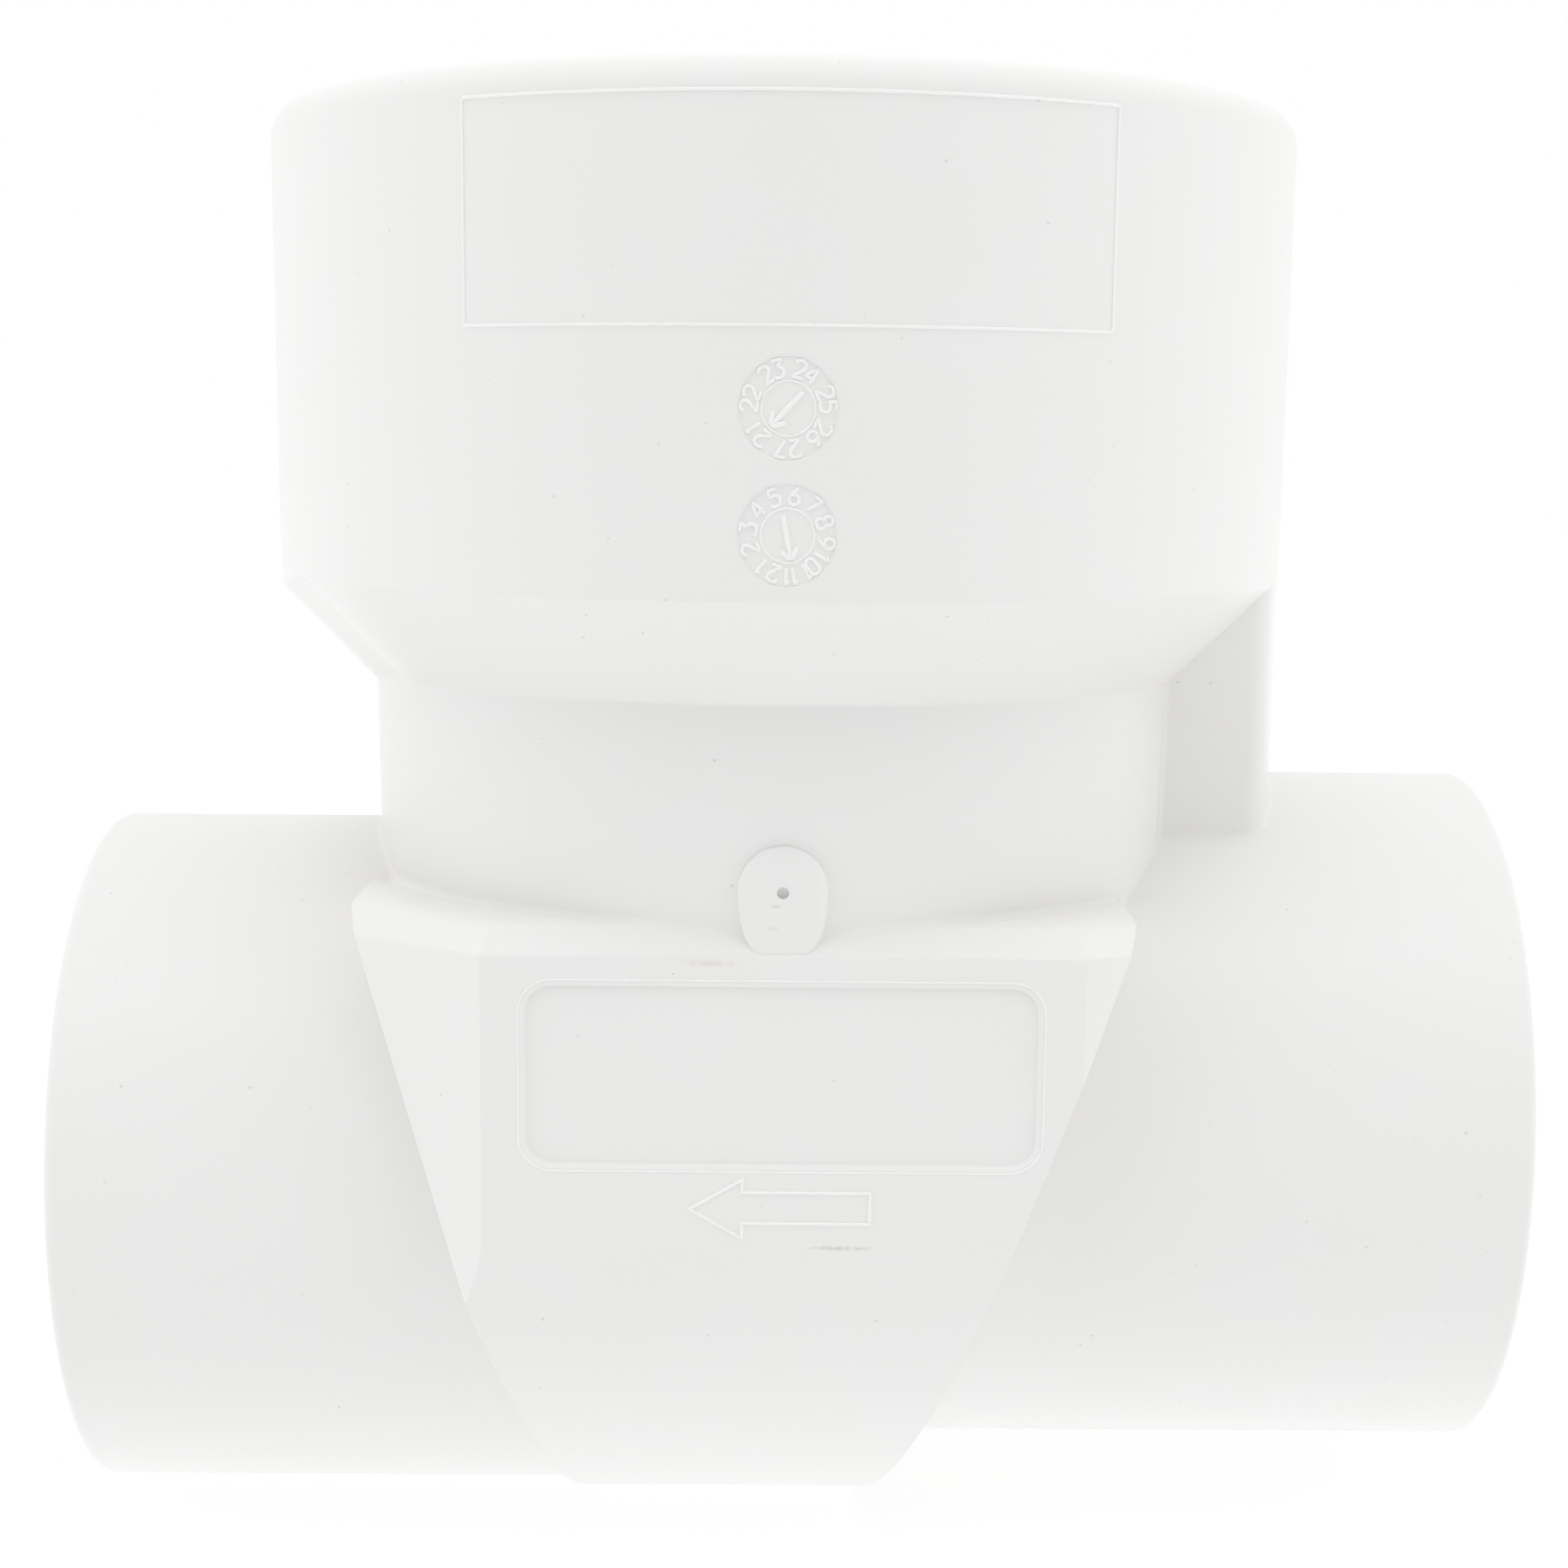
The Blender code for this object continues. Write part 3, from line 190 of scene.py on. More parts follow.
YEAR_POINTER = (
    ((2.17, 2.43), (-2.69, -2.63)),
    ((-2.39, -0.40), (-2.69, -2.63)),
    ((-0.36, -2.23), (-2.69, -2.63)),
)
MONTH_POINTER = (
    ((-0.71, 3.1), (0.57, -3.68)),
    ((-0.91, -2.37), (0.57, -3.68)),
    ((1.52, -1.76), (0.57, -3.68)),
)
WINDOW_LIP = (0.16, 0.12)
ARROW_LINE = (0.28, 0.28)
ARROW_OUTLINE = (
    (-14.5, 73.5),
    (-5.75, 68.45),
    (-5.75, 71.06),
    (15.5, 71.06),
    (15.5, 76.36),
    (-5.75, 76.36),
    (-5.75, 78.5),
)

# Fineness of the surfaces: steps round and along, longest runs, and limits for sharp corners
ROUND_STEPS = 240
PIPE_STEPS = 216
CIRCLE_STEPS = 96
BELLY_STEPS = 96
CORNER_STEPS = 8
LINE_STEPS = 7
LINE_RUN = 1.0
LINE_END_SHARE = 0.03
LINE_MITRE = 0.5
FOOT_RUN = 1.5
FINEST_TURN = 0.002
FLATTEST_FOLD = 0.999
BODY_SHARP = math.radians(30.0)
LINE_SHARP = math.radians(40.0)

# Positions worked out from the sizes above
RISER_X = (OUTLET_REACH - INLET_REACH) / 2
OUTLET_AXIS = HUB_OUTSIDE / 2 + OUTLET_PIPE_DROP
INLET_AXIS = OUTLET_AXIS + INLET_RISE
BULB_AXIS = BULB_ROUND
CHAMBER_ROUND = BULB_ROUND - WALL - OUTLET_PIPE_DROP
CHAMBER_SIDE = BULB_SIDE - WALL
CHAMBER_ROOF = BULB_ROOF - WALL
RISER_SHOULDER = RISER_TOP - RISER_SOCKET_DEPTH

# How far cutters reach past what they cut, how far two cutters' walls stay apart, and what is welded
BEYOND = 20.0
WALLS_APART = 0.02
WELD = 0.005

# Turns a shape made round Z into one round another axis
ALONG_X = Matrix(((0, 0, 1, 0), (1, 0, 0, 0), (0, 1, 0, 0), (0, 0, 0, 1)))
ALONG_MINUS_X = Matrix(((0, 0, -1, 0), (1, 0, 0, 0), (0, -1, 0, 0), (0, 0, 0, 1)))
ALONG_Y = Matrix(((0, 1, 0, 0), (0, 0, 1, 0), (1, 0, 0, 0), (0, 0, 0, 1)))

# The photograph's camera
CAMERA_PLACE = (-0.00492, -0.50701, 0.19886)
CAMERA_TILT = 0.1841
CAMERA_PAN = 0.0079
CAMERA_ROLL = 0.0100
PICTURE = 1932
FOCAL_PIXELS = 3306.04
MIDDLE_ROW = 1159
SENSOR = 36.0

# Stains on the moulding: place, reach, colour and strength
STAINS = (
    ((-13.5, -77.6, 115.0), (5.5, 3.0, 0.8), (0.66, 0.58, 0.52), 0.30),
    ((8.3, -77.6, 66.9), (6.5, 3.0, 0.5), (0.50, 0.47, 0.43), 0.50),
    ((46.5, -66.0, 160.5), (1.6, 3.0, 1.2), (0.70, 0.62, 0.54), 0.50),
    ((-3.4, -77.0, 120.7), (1.1, 3.0, 0.5), (0.66, 0.58, 0.54), 0.30),
    ((-2.9, -77.0, 124.4), (0.9, 3.0, 0.4), (0.60, 0.56, 0.52), 0.50),
)

# Mouldings: colour, tint, roughness, and the reach of the softened edges in metres
BODY_WHITE = ((0.862, 0.860, 0.852), (0.874, 0.871, 0.868), 0.30, 0.00025)
# The raised lines' white is lighter than the body's white: a painted highlight that stands in for the
# glints their rounded ridges catch.
LINE_PAINTED_HIGHLIGHT_WHITE = ((0.930, 0.928, 0.924), (0.945, 0.943, 0.940), 0.30, 0.00005)
CAGE_WHITE = ((0.76, 0.775, 0.79), (0.78, 0.79, 0.80), 0.42, 0.0006)
FLAPPER_GREY = ((0.50, 0.53, 0.56), (0.53, 0.56, 0.58), 0.42, 0.0006)
ACETAL = ((0.78, 0.76, 0.70), (0.80, 0.78, 0.73), 0.5, 0.0003)

# Their skin: noises as (scale per metre, detail), grey stops as (place, level), and bumps
CLOUD_NOISE = (14.0, 3.0)
BLOTCH_NOISE = (55.0, 2.0)
BLOTCH_STOPS = ((0.40, 0.0), (0.62, 0.35))
BLOTCH_WARMTH = (1.012, 0.998, 0.982)
SPECK_NOISE = (950.0, 0.0)
SPECK_STOPS = ((0.0, 1.0), (0.105, 1.0), (0.125, 0.0), (1.0, 0.0))
SPECK_COLOUR = (0.45, 0.44, 0.42, 1.0)
SPECK_STRENGTH = 0.35
STAIN_NOISE = (1400.0, 3.0, 0.7)
STAIN_EDGE = 2.2
STAIN_BREAKS = 3.0
SWIRL_NOISE = (38.0, 2.0)
SWIRL_BUMP = {"Strength": 0.10, "Distance": 0.0006}
GRAIN_NOISE = (1600.0, 1.0)
GRAIN_BUMP = {"Strength": 0.05, "Distance": 0.00005}
GLOSS_CHANGE = 0.08
EDGE_SAMPLES = 6
PLASTIC_IOR = 1.5

# Rubber and steel: two tones, roughness as (least, change), noises and bumps
RUBBER_TONES = ((0.022, 0.022, 0.023, 1.0), (0.05, 0.05, 0.052, 1.0))
RUBBER_ROUGHNESS = (0.55, 0.25)
BLOOM_NOISE = (60.0, 4.0)
PIT_NOISE = (2200.0, 2.0)
PIT_BUMP = {"Strength": 0.25, "Distance": 0.0001}
STEEL_TONES = ((0.58, 0.57, 0.55, 1.0), (0.68, 0.67, 0.65, 1.0))
STEEL_ROUGHNESS = (0.22, 0.16)
STEEL_CLOUD_NOISE = (90.0, 3.0)
DRAWING_STRETCH = (2400.0, 90.0, 2400.0)
DRAWING_NOISE = (1.0, 2.0)
DRAWING_BUMP = {"Strength": 0.08, "Distance": 0.00005}

# Studio light: an even level, and soft patches of a direction, a spread in degrees and a level
EVEN_LIGHT = 1.0
SOFT_PATCHES = (
    ((0.0, -0.985, 0.174), 37.0, -0.98),
    ((-0.65, -0.75, 0.15), 24.0, -0.66),
    ((0.65, -0.75, 0.15), 24.0, -0.50),
    ((0.0, 0.98, 0.17), 40.0, -0.90),
    ((0.0, -0.75, 0.66), 24.0, 0.15),
    ((0.0, -0.15, 0.99), 26.0, 0.92),
    ((-0.70, -0.35, 0.62), 24.0, 0.72),
    ((0.70, -0.35, 0.62), 24.0, 0.70),
    ((-0.95, -0.30, 0.15), 26.0, 0.30),
    ((0.95, -0.30, 0.15), 26.0, 0.20),
)
FLOOR_LIGHT = 1.12
FLOOR_SHADOW = 0.5
LAMP_PLACES = ((-0.44, -0.56, 1.10), (0.44, -0.56, 1.10))
LAMP_AIM = (0.0, 0.0, 0.12)
LAMP_SIZE = 0.42
LAMP_POWER = 0.20
FLOOR_RADIUS = 6000.0
FLOOR_THICKNESS = 12.0
WHITE = (1.0, 1.0, 1.0, 1.0)


def inlet_wall(z, inset=0.0):
    """Plan position of the sloping inlet wall at a height, moved inwards by a distance square to it."""
    rise = (z - OUTLET_AXIS) * math.tan(INLET_WALL_TILT)
    return INLET_WALL_AT_AXIS + rise - inset / math.cos(INLET_WALL_TILT)


def outlet_wall(z, inset=0.0):
    """Plan position of the sloping outlet wall at a height, moved inwards in the same way."""
    rise = (z - OUTLET_AXIS) * math.tan(OUTLET_WALL_TILT)
    return -OUTLET_WALL_AT_AXIS - rise + inset / math.cos(OUTLET_WALL_TILT)


SEAT_ORIGIN = Vector((inlet_wall(INLET_AXIS, WALL), 0.0, INLET_AXIS))
SEAT_FRAME = Matrix.Translation(SEAT_ORIGIN) @ Euler((0.0, INLET_WALL_TILT, 0.0)).to_matrix().to_4x4()


def arc(centre, radius, first, last, steps):
    """Points centre + radius (cos a, sin a) for angles a spread evenly from first to last."""
    turn = np.linspace(first, last, steps + 1)
    return np.stack([centre[0] + radius * np.cos(turn), centre[1] + radius * np.sin(turn)], 1)


def softened(points, radii, closed=False, steps=CORNER_STEPS):
    """A line of straight runs with each corner b replaced by the arc of its radius that touches both
    runs: tangent length r / tan(half angle), centre on the half line at r / sin(half angle)."""
    points = np.asarray(points, float)
    parts = []
    for number, (corner, radius) in enumerate(zip(points, radii)):
        if radius <= 0.0 or (not closed and number in (0, len(points) - 1)):
            parts.append(corner[None])
            continue
        before = points[number - 1] - corner
        after = points[(number + 1) % len(points)] - corner
        before /= np.linalg.norm(before)
        after /= np.linalg.norm(after)
        half = math.acos(np.clip(before @ after, -1.0, 1.0)) / 2
        middle = corner + (before + after) / np.linalg.norm(before + after) * radius / math.sin(half)
        start = corner + before * radius / math.tan(half) - middle
        end = corner + after * radius / math.tan(half) - middle
        sweep = math.pi - 2 * half
        share = np.linspace(0.0, 1.0, steps + 1)[:, None]
        turn = (np.sin((1 - share) * sweep) * start + np.sin(share * sweep) * end) / math.sin(sweep)
        parts.append(middle + turn)
    return np.concatenate(parts)


def placed(points, place):
    """Points in the frame's millimetres, moved by a matrix."""
    turn = np.array(place)
    return points @ turn[:3, :3].T + turn[:3, 3]


def linked(name, data):
    """A new object in the scene."""
    made = bpy.data.objects.new(name, data)
    bpy.context.scene.collection.objects.link(made)
    return made


def skin(name, points, place=Matrix.Identity(4), ring=False):
    """A closed mesh over a grid of points: each row is a loop, neighbouring rows are joined by quads,
    and the first and last rows get one face each, or meet when the grid is a ring."""
    rows, columns = points.shape[:2]
    index = np.arange(rows * columns).reshape(rows, columns)
    around = np.concatenate([index, index[:, :1]], 1)
    along = np.concatenate([around, around[:1]], 0) if ring else around
    quads = np.stack([along[:-1, :-1], along[:-1, 1:], along[1:, 1:], along[1:, :-1]], -1).reshape(-1, 4)
    faces = quads.tolist()
    if not ring:
        faces += [index[0, ::-1].tolist(), index[-1].tolist()]
    mesh = bpy.data.meshes.new(name)
    mesh.from_pydata(placed(points.reshape(-1, 3), place) * MM, [], faces)
    shape = bmesh.new()
    shape.from_mesh(mesh)
    bmesh.ops.recalc_face_normals(shape, faces=shape.faces)
    if shape.calc_volume(signed=True) < 0.0:
        bmesh.ops.reverse_faces(shape, faces=shape.faces)
    shape.to_mesh(mesh)
    shape.free()
    return linked(name, mesh)


def turned(name, profile, steps, place=Matrix.Identity(4)):
    """A turning: profile point (r, h) goes round as (r cos a, r sin a, h). The profile runs from the
    first flat end to the last one and leaves out the axis."""
    profile = np.asarray(profile, float)
    turn = np.linspace(0.0, math.tau, steps, endpoint=False)
    radius = profile[:, 0, None]
    height = np.broadcast_to(profile[:, 1, None], (len(profile), steps))
    return skin(name, np.stack([radius * np.cos(turn), radius * np.sin(turn), height], -1), place)


def lofted(name, outlines, levels, plane="XY", place=Matrix.Identity(4)):
    """A loft: outline k (a, b) lies at level k, on the plane named, and rows are joined straight."""
    rows = []
    for outline, level in zip(outlines, levels):
        a, b = np.asarray(outline, float).T
        c = np.full(len(a), float(level))
        rows.append(np.stack({"XY": (a, b, c), "XZ": (a, c, b), "YZ": (c, a, b)}[plane], -1))
    return skin(name, np.stack(rows), place)


def settled(item):
    """Apply an object's modifiers to its mesh."""
    bpy.context.view_layer.update()
    reading = item.evaluated_get(bpy.context.evaluated_depsgraph_get())
    result = bpy.data.meshes.new_from_object(reading)
    item.modifiers.clear()
    item.data = result
    return item


def combine(target, tools, operation):
    """Join, cut or intersect a solid with others, which are used up."""
    for tool in tools:
        step = target.modifiers.new(operation.lower(), "BOOLEAN")
        step.operation = operation
        step.solver = "EXACT"
        step.object = tool
        settled(target)
        bpy.data.objects.remove(tool, do_unlink=True)
    return target


def sector_outline(half_width, radius, corner, root):
    """Plan outline of a straight-sided web: two sides at plus and minus the half width, corner arcs,
    and a far face on a circle about the riser axis."""
    middle = math.sqrt((radius - corner) ** 2 - (half_width - corner) ** 2)
    lean = math.atan2(half_width - corner, middle)
    low = arc((middle, corner - half_width), corner, -math.pi / 2, -lean, CORNER_STEPS)
    far = arc((0.0, 0.0), radius, -lean, lean, 4 * CORNER_STEPS)
    high = arc((middle, half_width - corner), corner, lean, math.pi / 2, CORNER_STEPS)
    return np.concatenate([[(root, -half_width)], low, far[1:-1], high, [(root, half_width)]])


def web_outline(neck):
    """The web's plan with its root rolled into the neck: an arc that touches the side and a circle of the
    neck's radius, its centre at the radius plus the fillet from the riser axis."""
    outline = sector_outline(WEB_WIDTH / 2, RISER_HUB_OUTSIDE / 2 - WEB_STEP, WEB_CORNER, WEB_ROOT)
    side = WEB_WIDTH / 2 + WEB_ROOT_FILLET
    middle = math.sqrt((neck + WEB_ROOT_FILLET) ** 2 - side * side)
    touch = math.pi - math.atan2(side, middle)
    roll = arc((middle, -side), WEB_ROOT_FILLET, touch, math.pi / 2, CORNER_STEPS)
    root = [(WEB_ROOT, roll[0, 1])]
    high = roll[::-1] * (1.0, -1.0)
    return np.concatenate([root, roll, outline[1:-1], high, [(WEB_ROOT, -roll[0, 1])]])


def ground(x, y, radius):
    """What a ball of a radius rests on over each place in plan: the height of its centre, and the
    direction out of the surface there. It rests on the highest of the roof with its edge, moved out
    square to itself by the radius, and the two pipe hubs."""
    profile = roof_edge()[1:]
    run = np.gradient(profile, axis=0)
    run /= np.linalg.norm(run, axis=1)[:, None]
    reach = BULB_SIDE - profile[:, 0] + radius * run[:, 1]
    level = profile[:, 1] + radius * run[:, 0]
    away = np.abs(y)
    height = np.interp(away, reach[::-1], level[::-1])
    lean = np.interp(away, reach[::-1], run[::-1, 1])
    level_run = np.zeros(len(x))
    out = np.stack([level_run, lean * np.sign(y), np.sqrt(1.0 - lean * lean)], -1)
    height = np.where((x > outlet_wall(BULB_ROOF)) & (x < inlet_wall(BULB_ROOF)), height, -BEYOND)
    reach = HUB_OUTSIDE / 2 + radius
    arch = np.sqrt(np.clip(reach * reach - y * y, 0.0, None))
    from_hub = np.stack([level_run, y / reach, arch / reach], -1)
    for side, axis in ((-1.0, OUTLET_AXIS), (1.0, INLET_AXIS)):
        higher = (side * x > 0.0) & (axis + arch > height)
        height = np.where(higher, axis + arch, height)
        out = np.where(higher[..., None], from_hub, out)
    return height, out


def rolled_foot(name, outline, outward, radius):
    """The fillet round the foot of an upright wall: a ball's centre runs along the outline moved out by
    the ball's radius, at the height where the ball rests on the ground below, and between its two
    contacts the arc is (sin((1 - s) w) a + sin(s w) b) / sin w for s from 0 to 1."""
    plan = outline + radius * outward
    height, out = ground(plan[:, 0], plan[:, 1], radius)
    middle = np.concatenate([plan, height[:, None]], 1)
    first = np.concatenate([-outward, np.zeros((len(plan), 1))], 1)
    second = -out
    meeting = np.clip((first * second).sum(1), -FLATTEST_FOLD, FLATTEST_FOLD)
    sweep = np.arccos(meeting)[:, None, None]
    share = np.linspace(0.0, 1.0, CORNER_STEPS + 1)[None, :, None]
    rolled = np.sin((1 - share) * sweep) * first[:, None] + np.sin(share * sweep) * second[:, None]
    roll = middle[:, None] + radius * (rolled / np.sin(sweep))
    under = (roll[:, -1] + radius * second)[:, None]
    behind = (roll[:, 0] + radius * first - (0.0, 0.0, radius))[:, None]
    return skin(name, np.concatenate([roll, under, behind], 1), ring=True)


def foot_fillets():
    """The rolled joints of the neck and of the web with what they stand on."""
    turn = np.linspace(0.0, math.tau, 2 * ROUND_STEPS, endpoint=False)
    outward = np.stack([np.cos(turn), np.sin(turn)], 1)
    neck = rolled_foot("neck_fillet", NECK_FOOT_OUTSIDE / 2 * outward, outward, NECK_FOOT_FILLET)
    plan = sector_outline(WEB_WIDTH / 2, RISER_HUB_OUTSIDE / 2 - WEB_STEP, WEB_CORNER, WEB_ROOT)
    outline = spaced(plan, FOOT_RUN, False)
    run = np.gradient(outline, axis=0)
    outward = np.stack([run[:, 1], -run[:, 0]], 1) / np.linalg.norm(run, axis=1)[:, None]
    web = rolled_foot("web_fillet", outline, outward, WEB_FOOT_FILLET)
    return [neck, web]


def bulb_plan(side, inset, soft):
    """Plan outline of the bulb: flat front and back pads with a softened chamfer towards each wall."""
    reach = NECK_TOP_OUTSIDE / 2 + BEYOND
    outlet_edge = PAD_OUTLET_EDGE - inset * math.tan(OUTLET_CHAMFER / 2)
    inlet_edge = PAD_INLET_EDGE - inset * math.tan(INLET_CHAMFER / 2)
    outlet_side = side - (reach - outlet_edge) * math.tan(OUTLET_CHAMFER)
    inlet_side = side - (reach - inlet_edge) * math.tan(INLET_CHAMFER)
    front = [(-reach, -outlet_side), (-outlet_edge, -side), (inlet_edge, -side), (reach, -inlet_side)]
    corners = front + [(x, -y) for x, y in reversed(front)]
    return softened(corners, [0.0, soft, soft, 0.0, 0.0, soft, soft, 0.0], closed=True)


def belly_section(name, radius, roof):
    """A long bar with the bulb's cross-section: a half-round belly under upright sides."""
    belly = arc((0.0, BULB_AXIS), radius, math.pi, math.tau, BELLY_STEPS)
    outline = np.concatenate([belly, [(radius, roof), (-radius, roof)]])
    return lofted(name, [outline, outline], [-OUTLET_REACH, OUTLET_REACH], "YZ")


def wedge(name, inset, low, high):
    """The wedge between the two sloping walls, each moved inwards by the inset."""
    outline = [
        (outlet_wall(low, inset), low),
        (inlet_wall(low, inset), low),
        (inlet_wall(high, inset), high),
        (outlet_wall(high, inset), high),
    ]
    return lofted(name, [outline, outline], [-RISER_HUB_OUTSIDE, RISER_HUB_OUTSIDE], "XZ")


def roof_edge():
    """The bulb's roof edge, a rounded bevel, as points (distance in from the side, height)."""
    edge = [(0.0, -BEYOND), (0.0, BULB_ROOF - BULB_ROOF_BEVEL)]
    edge += [(BULB_ROOF_BEVEL, BULB_ROOF), (BEYOND, BULB_ROOF)]
    return softened(edge, [0.0, ROOF_LOW_ROUND, ROOF_HIGH_ROUND, 0.0], steps=ROOF_EDGE_STEPS)


def bulb_outside():
    """The bulb's outer form: its plan drawn in along the roof edge, its section and the wedge."""
    profile = roof_edge()
    plans = [bulb_plan(BULB_SIDE - inset, inset, 0.0) for inset in profile[:-1, 0]]
    bulb = lofted("bulb", plans, profile[:-1, 1])
    section = belly_section("section", BULB_ROUND, BULB_ROOF + BEYOND)
    combine(bulb, [section, wedge("walls", 0.0, -BEYOND, BULB_ROOF + BEYOND)], "INTERSECT")
    step = bulb.modifiers.new("edges", "BEVEL")
    step.width = BULB_EDGE_ROUND * MM
    step.segments = BULB_EDGE_SEGMENTS
    step.limit_method = "ANGLE"
    step.angle_limit = BULB_EDGE_ANGLE
    return settled(bulb)


def riser_outside():
    """Neck, cone and riser hub in one turning, with a rounded rim and softened edges. Over the outlet
    the cone's rows sink by the thickness of the gusset and its groove times a smooth step in the angle,
    which lays a raised stretch on the cone. They rise by the groove's depth times (1 - u) squared,
    where u runs from 0 at the stretch's edge to 1 across the groove, which narrows upwards."""
    radius = RISER_HUB_OUTSIDE / 2
    neck_foot = NECK_FOOT_OUTSIDE / 2
    neck_top = NECK_TOP_OUTSIDE / 2
    corners = [(neck_foot, CHAMBER_ROOF), (neck_foot, BULB_ROOF), (neck_top, NECK_TOP)]
    corners += [(radius, RISER_HUB_BASE), (radius, RISER_TOP), (radius - 2 * RISER_RIM_ROUND, RISER_TOP)]
    profile = softened(corners, [0.0, 0.0, CONE_FOOT_ROUND, CONE_HEAD_ROUND, RISER_RIM_ROUND, 0.0])
    reach = GUSSET_HALF_ANGLE + GUSSET_FLANK
    coarse = np.linspace(0.0, math.tau, ROUND_STEPS, endpoint=False)
    crest = GUSSET_HALF_ANGLE - GUSSET_FLANK / 4
    fine = np.linspace(crest, reach + GUSSET_GROOVE_SPAN[0], 8 * CORNER_STEPS)
    turn = np.unique(np.round(np.concatenate([coarse, math.pi - fine, math.pi + fine]), 9))
    turn = turn[np.concatenate([[True], np.diff(turn) > FINEST_TURN])]
    level = profile[:, 1, None]
    away = np.abs(turn - math.pi)
    rise = np.clip((reach - away) / GUSSET_FLANK, 0.0, 1.0)
    slope = (radius - neck_top) / (RISER_HUB_BASE - NECK_TOP)
    span = np.interp(level, (NECK_TOP, RISER_HUB_BASE), GUSSET_GROOVE_SPAN)
    groove = np.clip((away - reach) / span, 0.0, 1.0)
    sink = (GUSSET_THICKNESS + GUSSET_GROOVE) * rise * rise * (3.0 - 2.0 * rise)
    sink = sink - GUSSET_GROOVE * (1.0 - groove) ** 2
    on_cone = (level > NECK_TOP - CONE_MARGIN) & (level < RISER_HUB_BASE + CONE_MARGIN)
    height = level - on_cone * sink * math.hypot(1.0, slope)
    around = profile[:, 0, None]
    return skin("riser", np.stack([around * np.cos(turn), around * np.sin(turn), height], -1))


def pipe_hub(name, root, reach, place):
    """A pipe hub from inside the bulb to its rounded end."""
    radius = HUB_OUTSIDE / 2
    corners = [(radius, root), (radius, reach), (radius - 2 * HUB_EDGE_ROUND, reach)]
    return turned(name, softened(corners, [0.0, HUB_EDGE_ROUND, 0.0]), PIPE_STEPS, place)


def gate_boss():
    """The trimmed sprue left by moulding. Its outline, a half circle over two quarters of an ellipse that
    narrow to the foot, shrinks row by row about its centre. The face stands out by the least of a dome
    and of three cuts. The dome lies E minus the root of (E squared - (E - d) squared) back at a distance
    d within the edge radius E, and rises evenly beyond it. The cuts are tilted planes. Over the foot a
    square law lifts the face to the pad."""
    half = GATE_FOOT_WIDTH / 2
    crown = arc((0.0, 0.0), GATE_RADIUS, 0.0, math.pi, 16 * CORNER_STEPS)
    flank = arc((0.0, 0.0), 1.0, math.pi / 2, 0.0, 5 * CORNER_STEPS)[:-1]
    flank = flank * (GATE_RADIUS - half, -GATE_FOOT_DROP) + (half, 0.0)
    base = np.linspace((-half, -GATE_FOOT_DROP), (half, -GATE_FOOT_DROP), 2 * CORNER_STEPS)[1:-1]
    outline = np.concatenate([crown, flank[::-1] * (-1.0, 1.0), base, flank])
    size = np.linalg.norm(outline, axis=1)
    turn = np.linspace(0.0, math.pi / 2, 2 * CORNER_STEPS)[:, None]
    rim = size - GATE_EDGE_ROUND * (1.0 - np.cos(turn))
    share = np.linspace(1.0, GATE_LAST_ROW, 8 * CORNER_STEPS)[1:, None]
    edge = np.concatenate([rim, rim[-1] * share])
    across = outline[:, 0] / size * edge
    up = outline[:, 1] / size * edge
    within = np.clip((size - edge) / GATE_EDGE_ROUND, 0.0, 1.0)
    dome = -GATE_EDGE_ROUND * (1.0 - np.sqrt(1.0 - (1.0 - within) ** 2))
    dome = dome + GATE_CROWN * np.clip(size - edge - GATE_EDGE_ROUND, 0.0, None)
    cuts = np.stack([a * across + b * up + c for a, b, c in GATE_CUTS]).min(0)
    sweep = np.clip((GATE_FOOT_SWEEP - GATE_FOOT_DROP - up) / GATE_FOOT_SWEEP, 0.0, 1.0)
    out = GATE_FACE + np.minimum(dome, cuts) + GATE_FOOT_LIFT * sweep * sweep
    back = np.full(len(size), NECK_BORE / 2 + WALL / 2)
    root = np.stack([outline[:, 0], back, outline[:, 1]], -1)[None]
    rows = np.concatenate([root, np.stack([across, out, up], -1)])
    boss = skin("gate", rows * (1.0, -1.0, 1.0) + (GATE_CENTRE_X, 0.0, GATE_CENTRE_Z))
    place = Matrix.Translation((GATE_CENTRE_X, -GATE_FACE, GATE_CENTRE_Z)) @ ALONG_Y
    profile = [(GATE_HOLE_RADIUS, -GATE_HOLE_ABOVE), (GATE_HOLE_RADIUS, GATE_HOLE_DEPTH)]
    return combine(boss, [turned("pip", profile, 4 * CORNER_STEPS, place)], "DIFFERENCE")


def rounded_rectangle(length, height, corner, centre):
    """Outline of a rounded rectangle."""
    half = np.array([length / 2, height / 2])
    corners = np.array([(1, 1), (-1, 1), (-1, -1), (1, -1)]) * half + np.array(centre)
    return softened(corners, [corner] * 4, closed=True)


def window_cutter():
    """The shallow window in the front pad, wider at its mouth than at its floor."""
    centre = (WINDOW_CENTRE_X, WINDOW_CENTRE_Z)
    outlines = []
    levels = []
    for side in (-1, 1):
        grow = side * WINDOW_DRAFT
        size = (WINDOW_LENGTH + 2 * grow, WINDOW_HEIGHT + 2 * grow)
        outlines.append(rounded_rectangle(*size, WINDOW_CORNER + grow, centre))
        levels.append(-BULB_SIDE - side * WINDOW_DEPTH)
    return lofted("window", outlines, levels, "XZ")


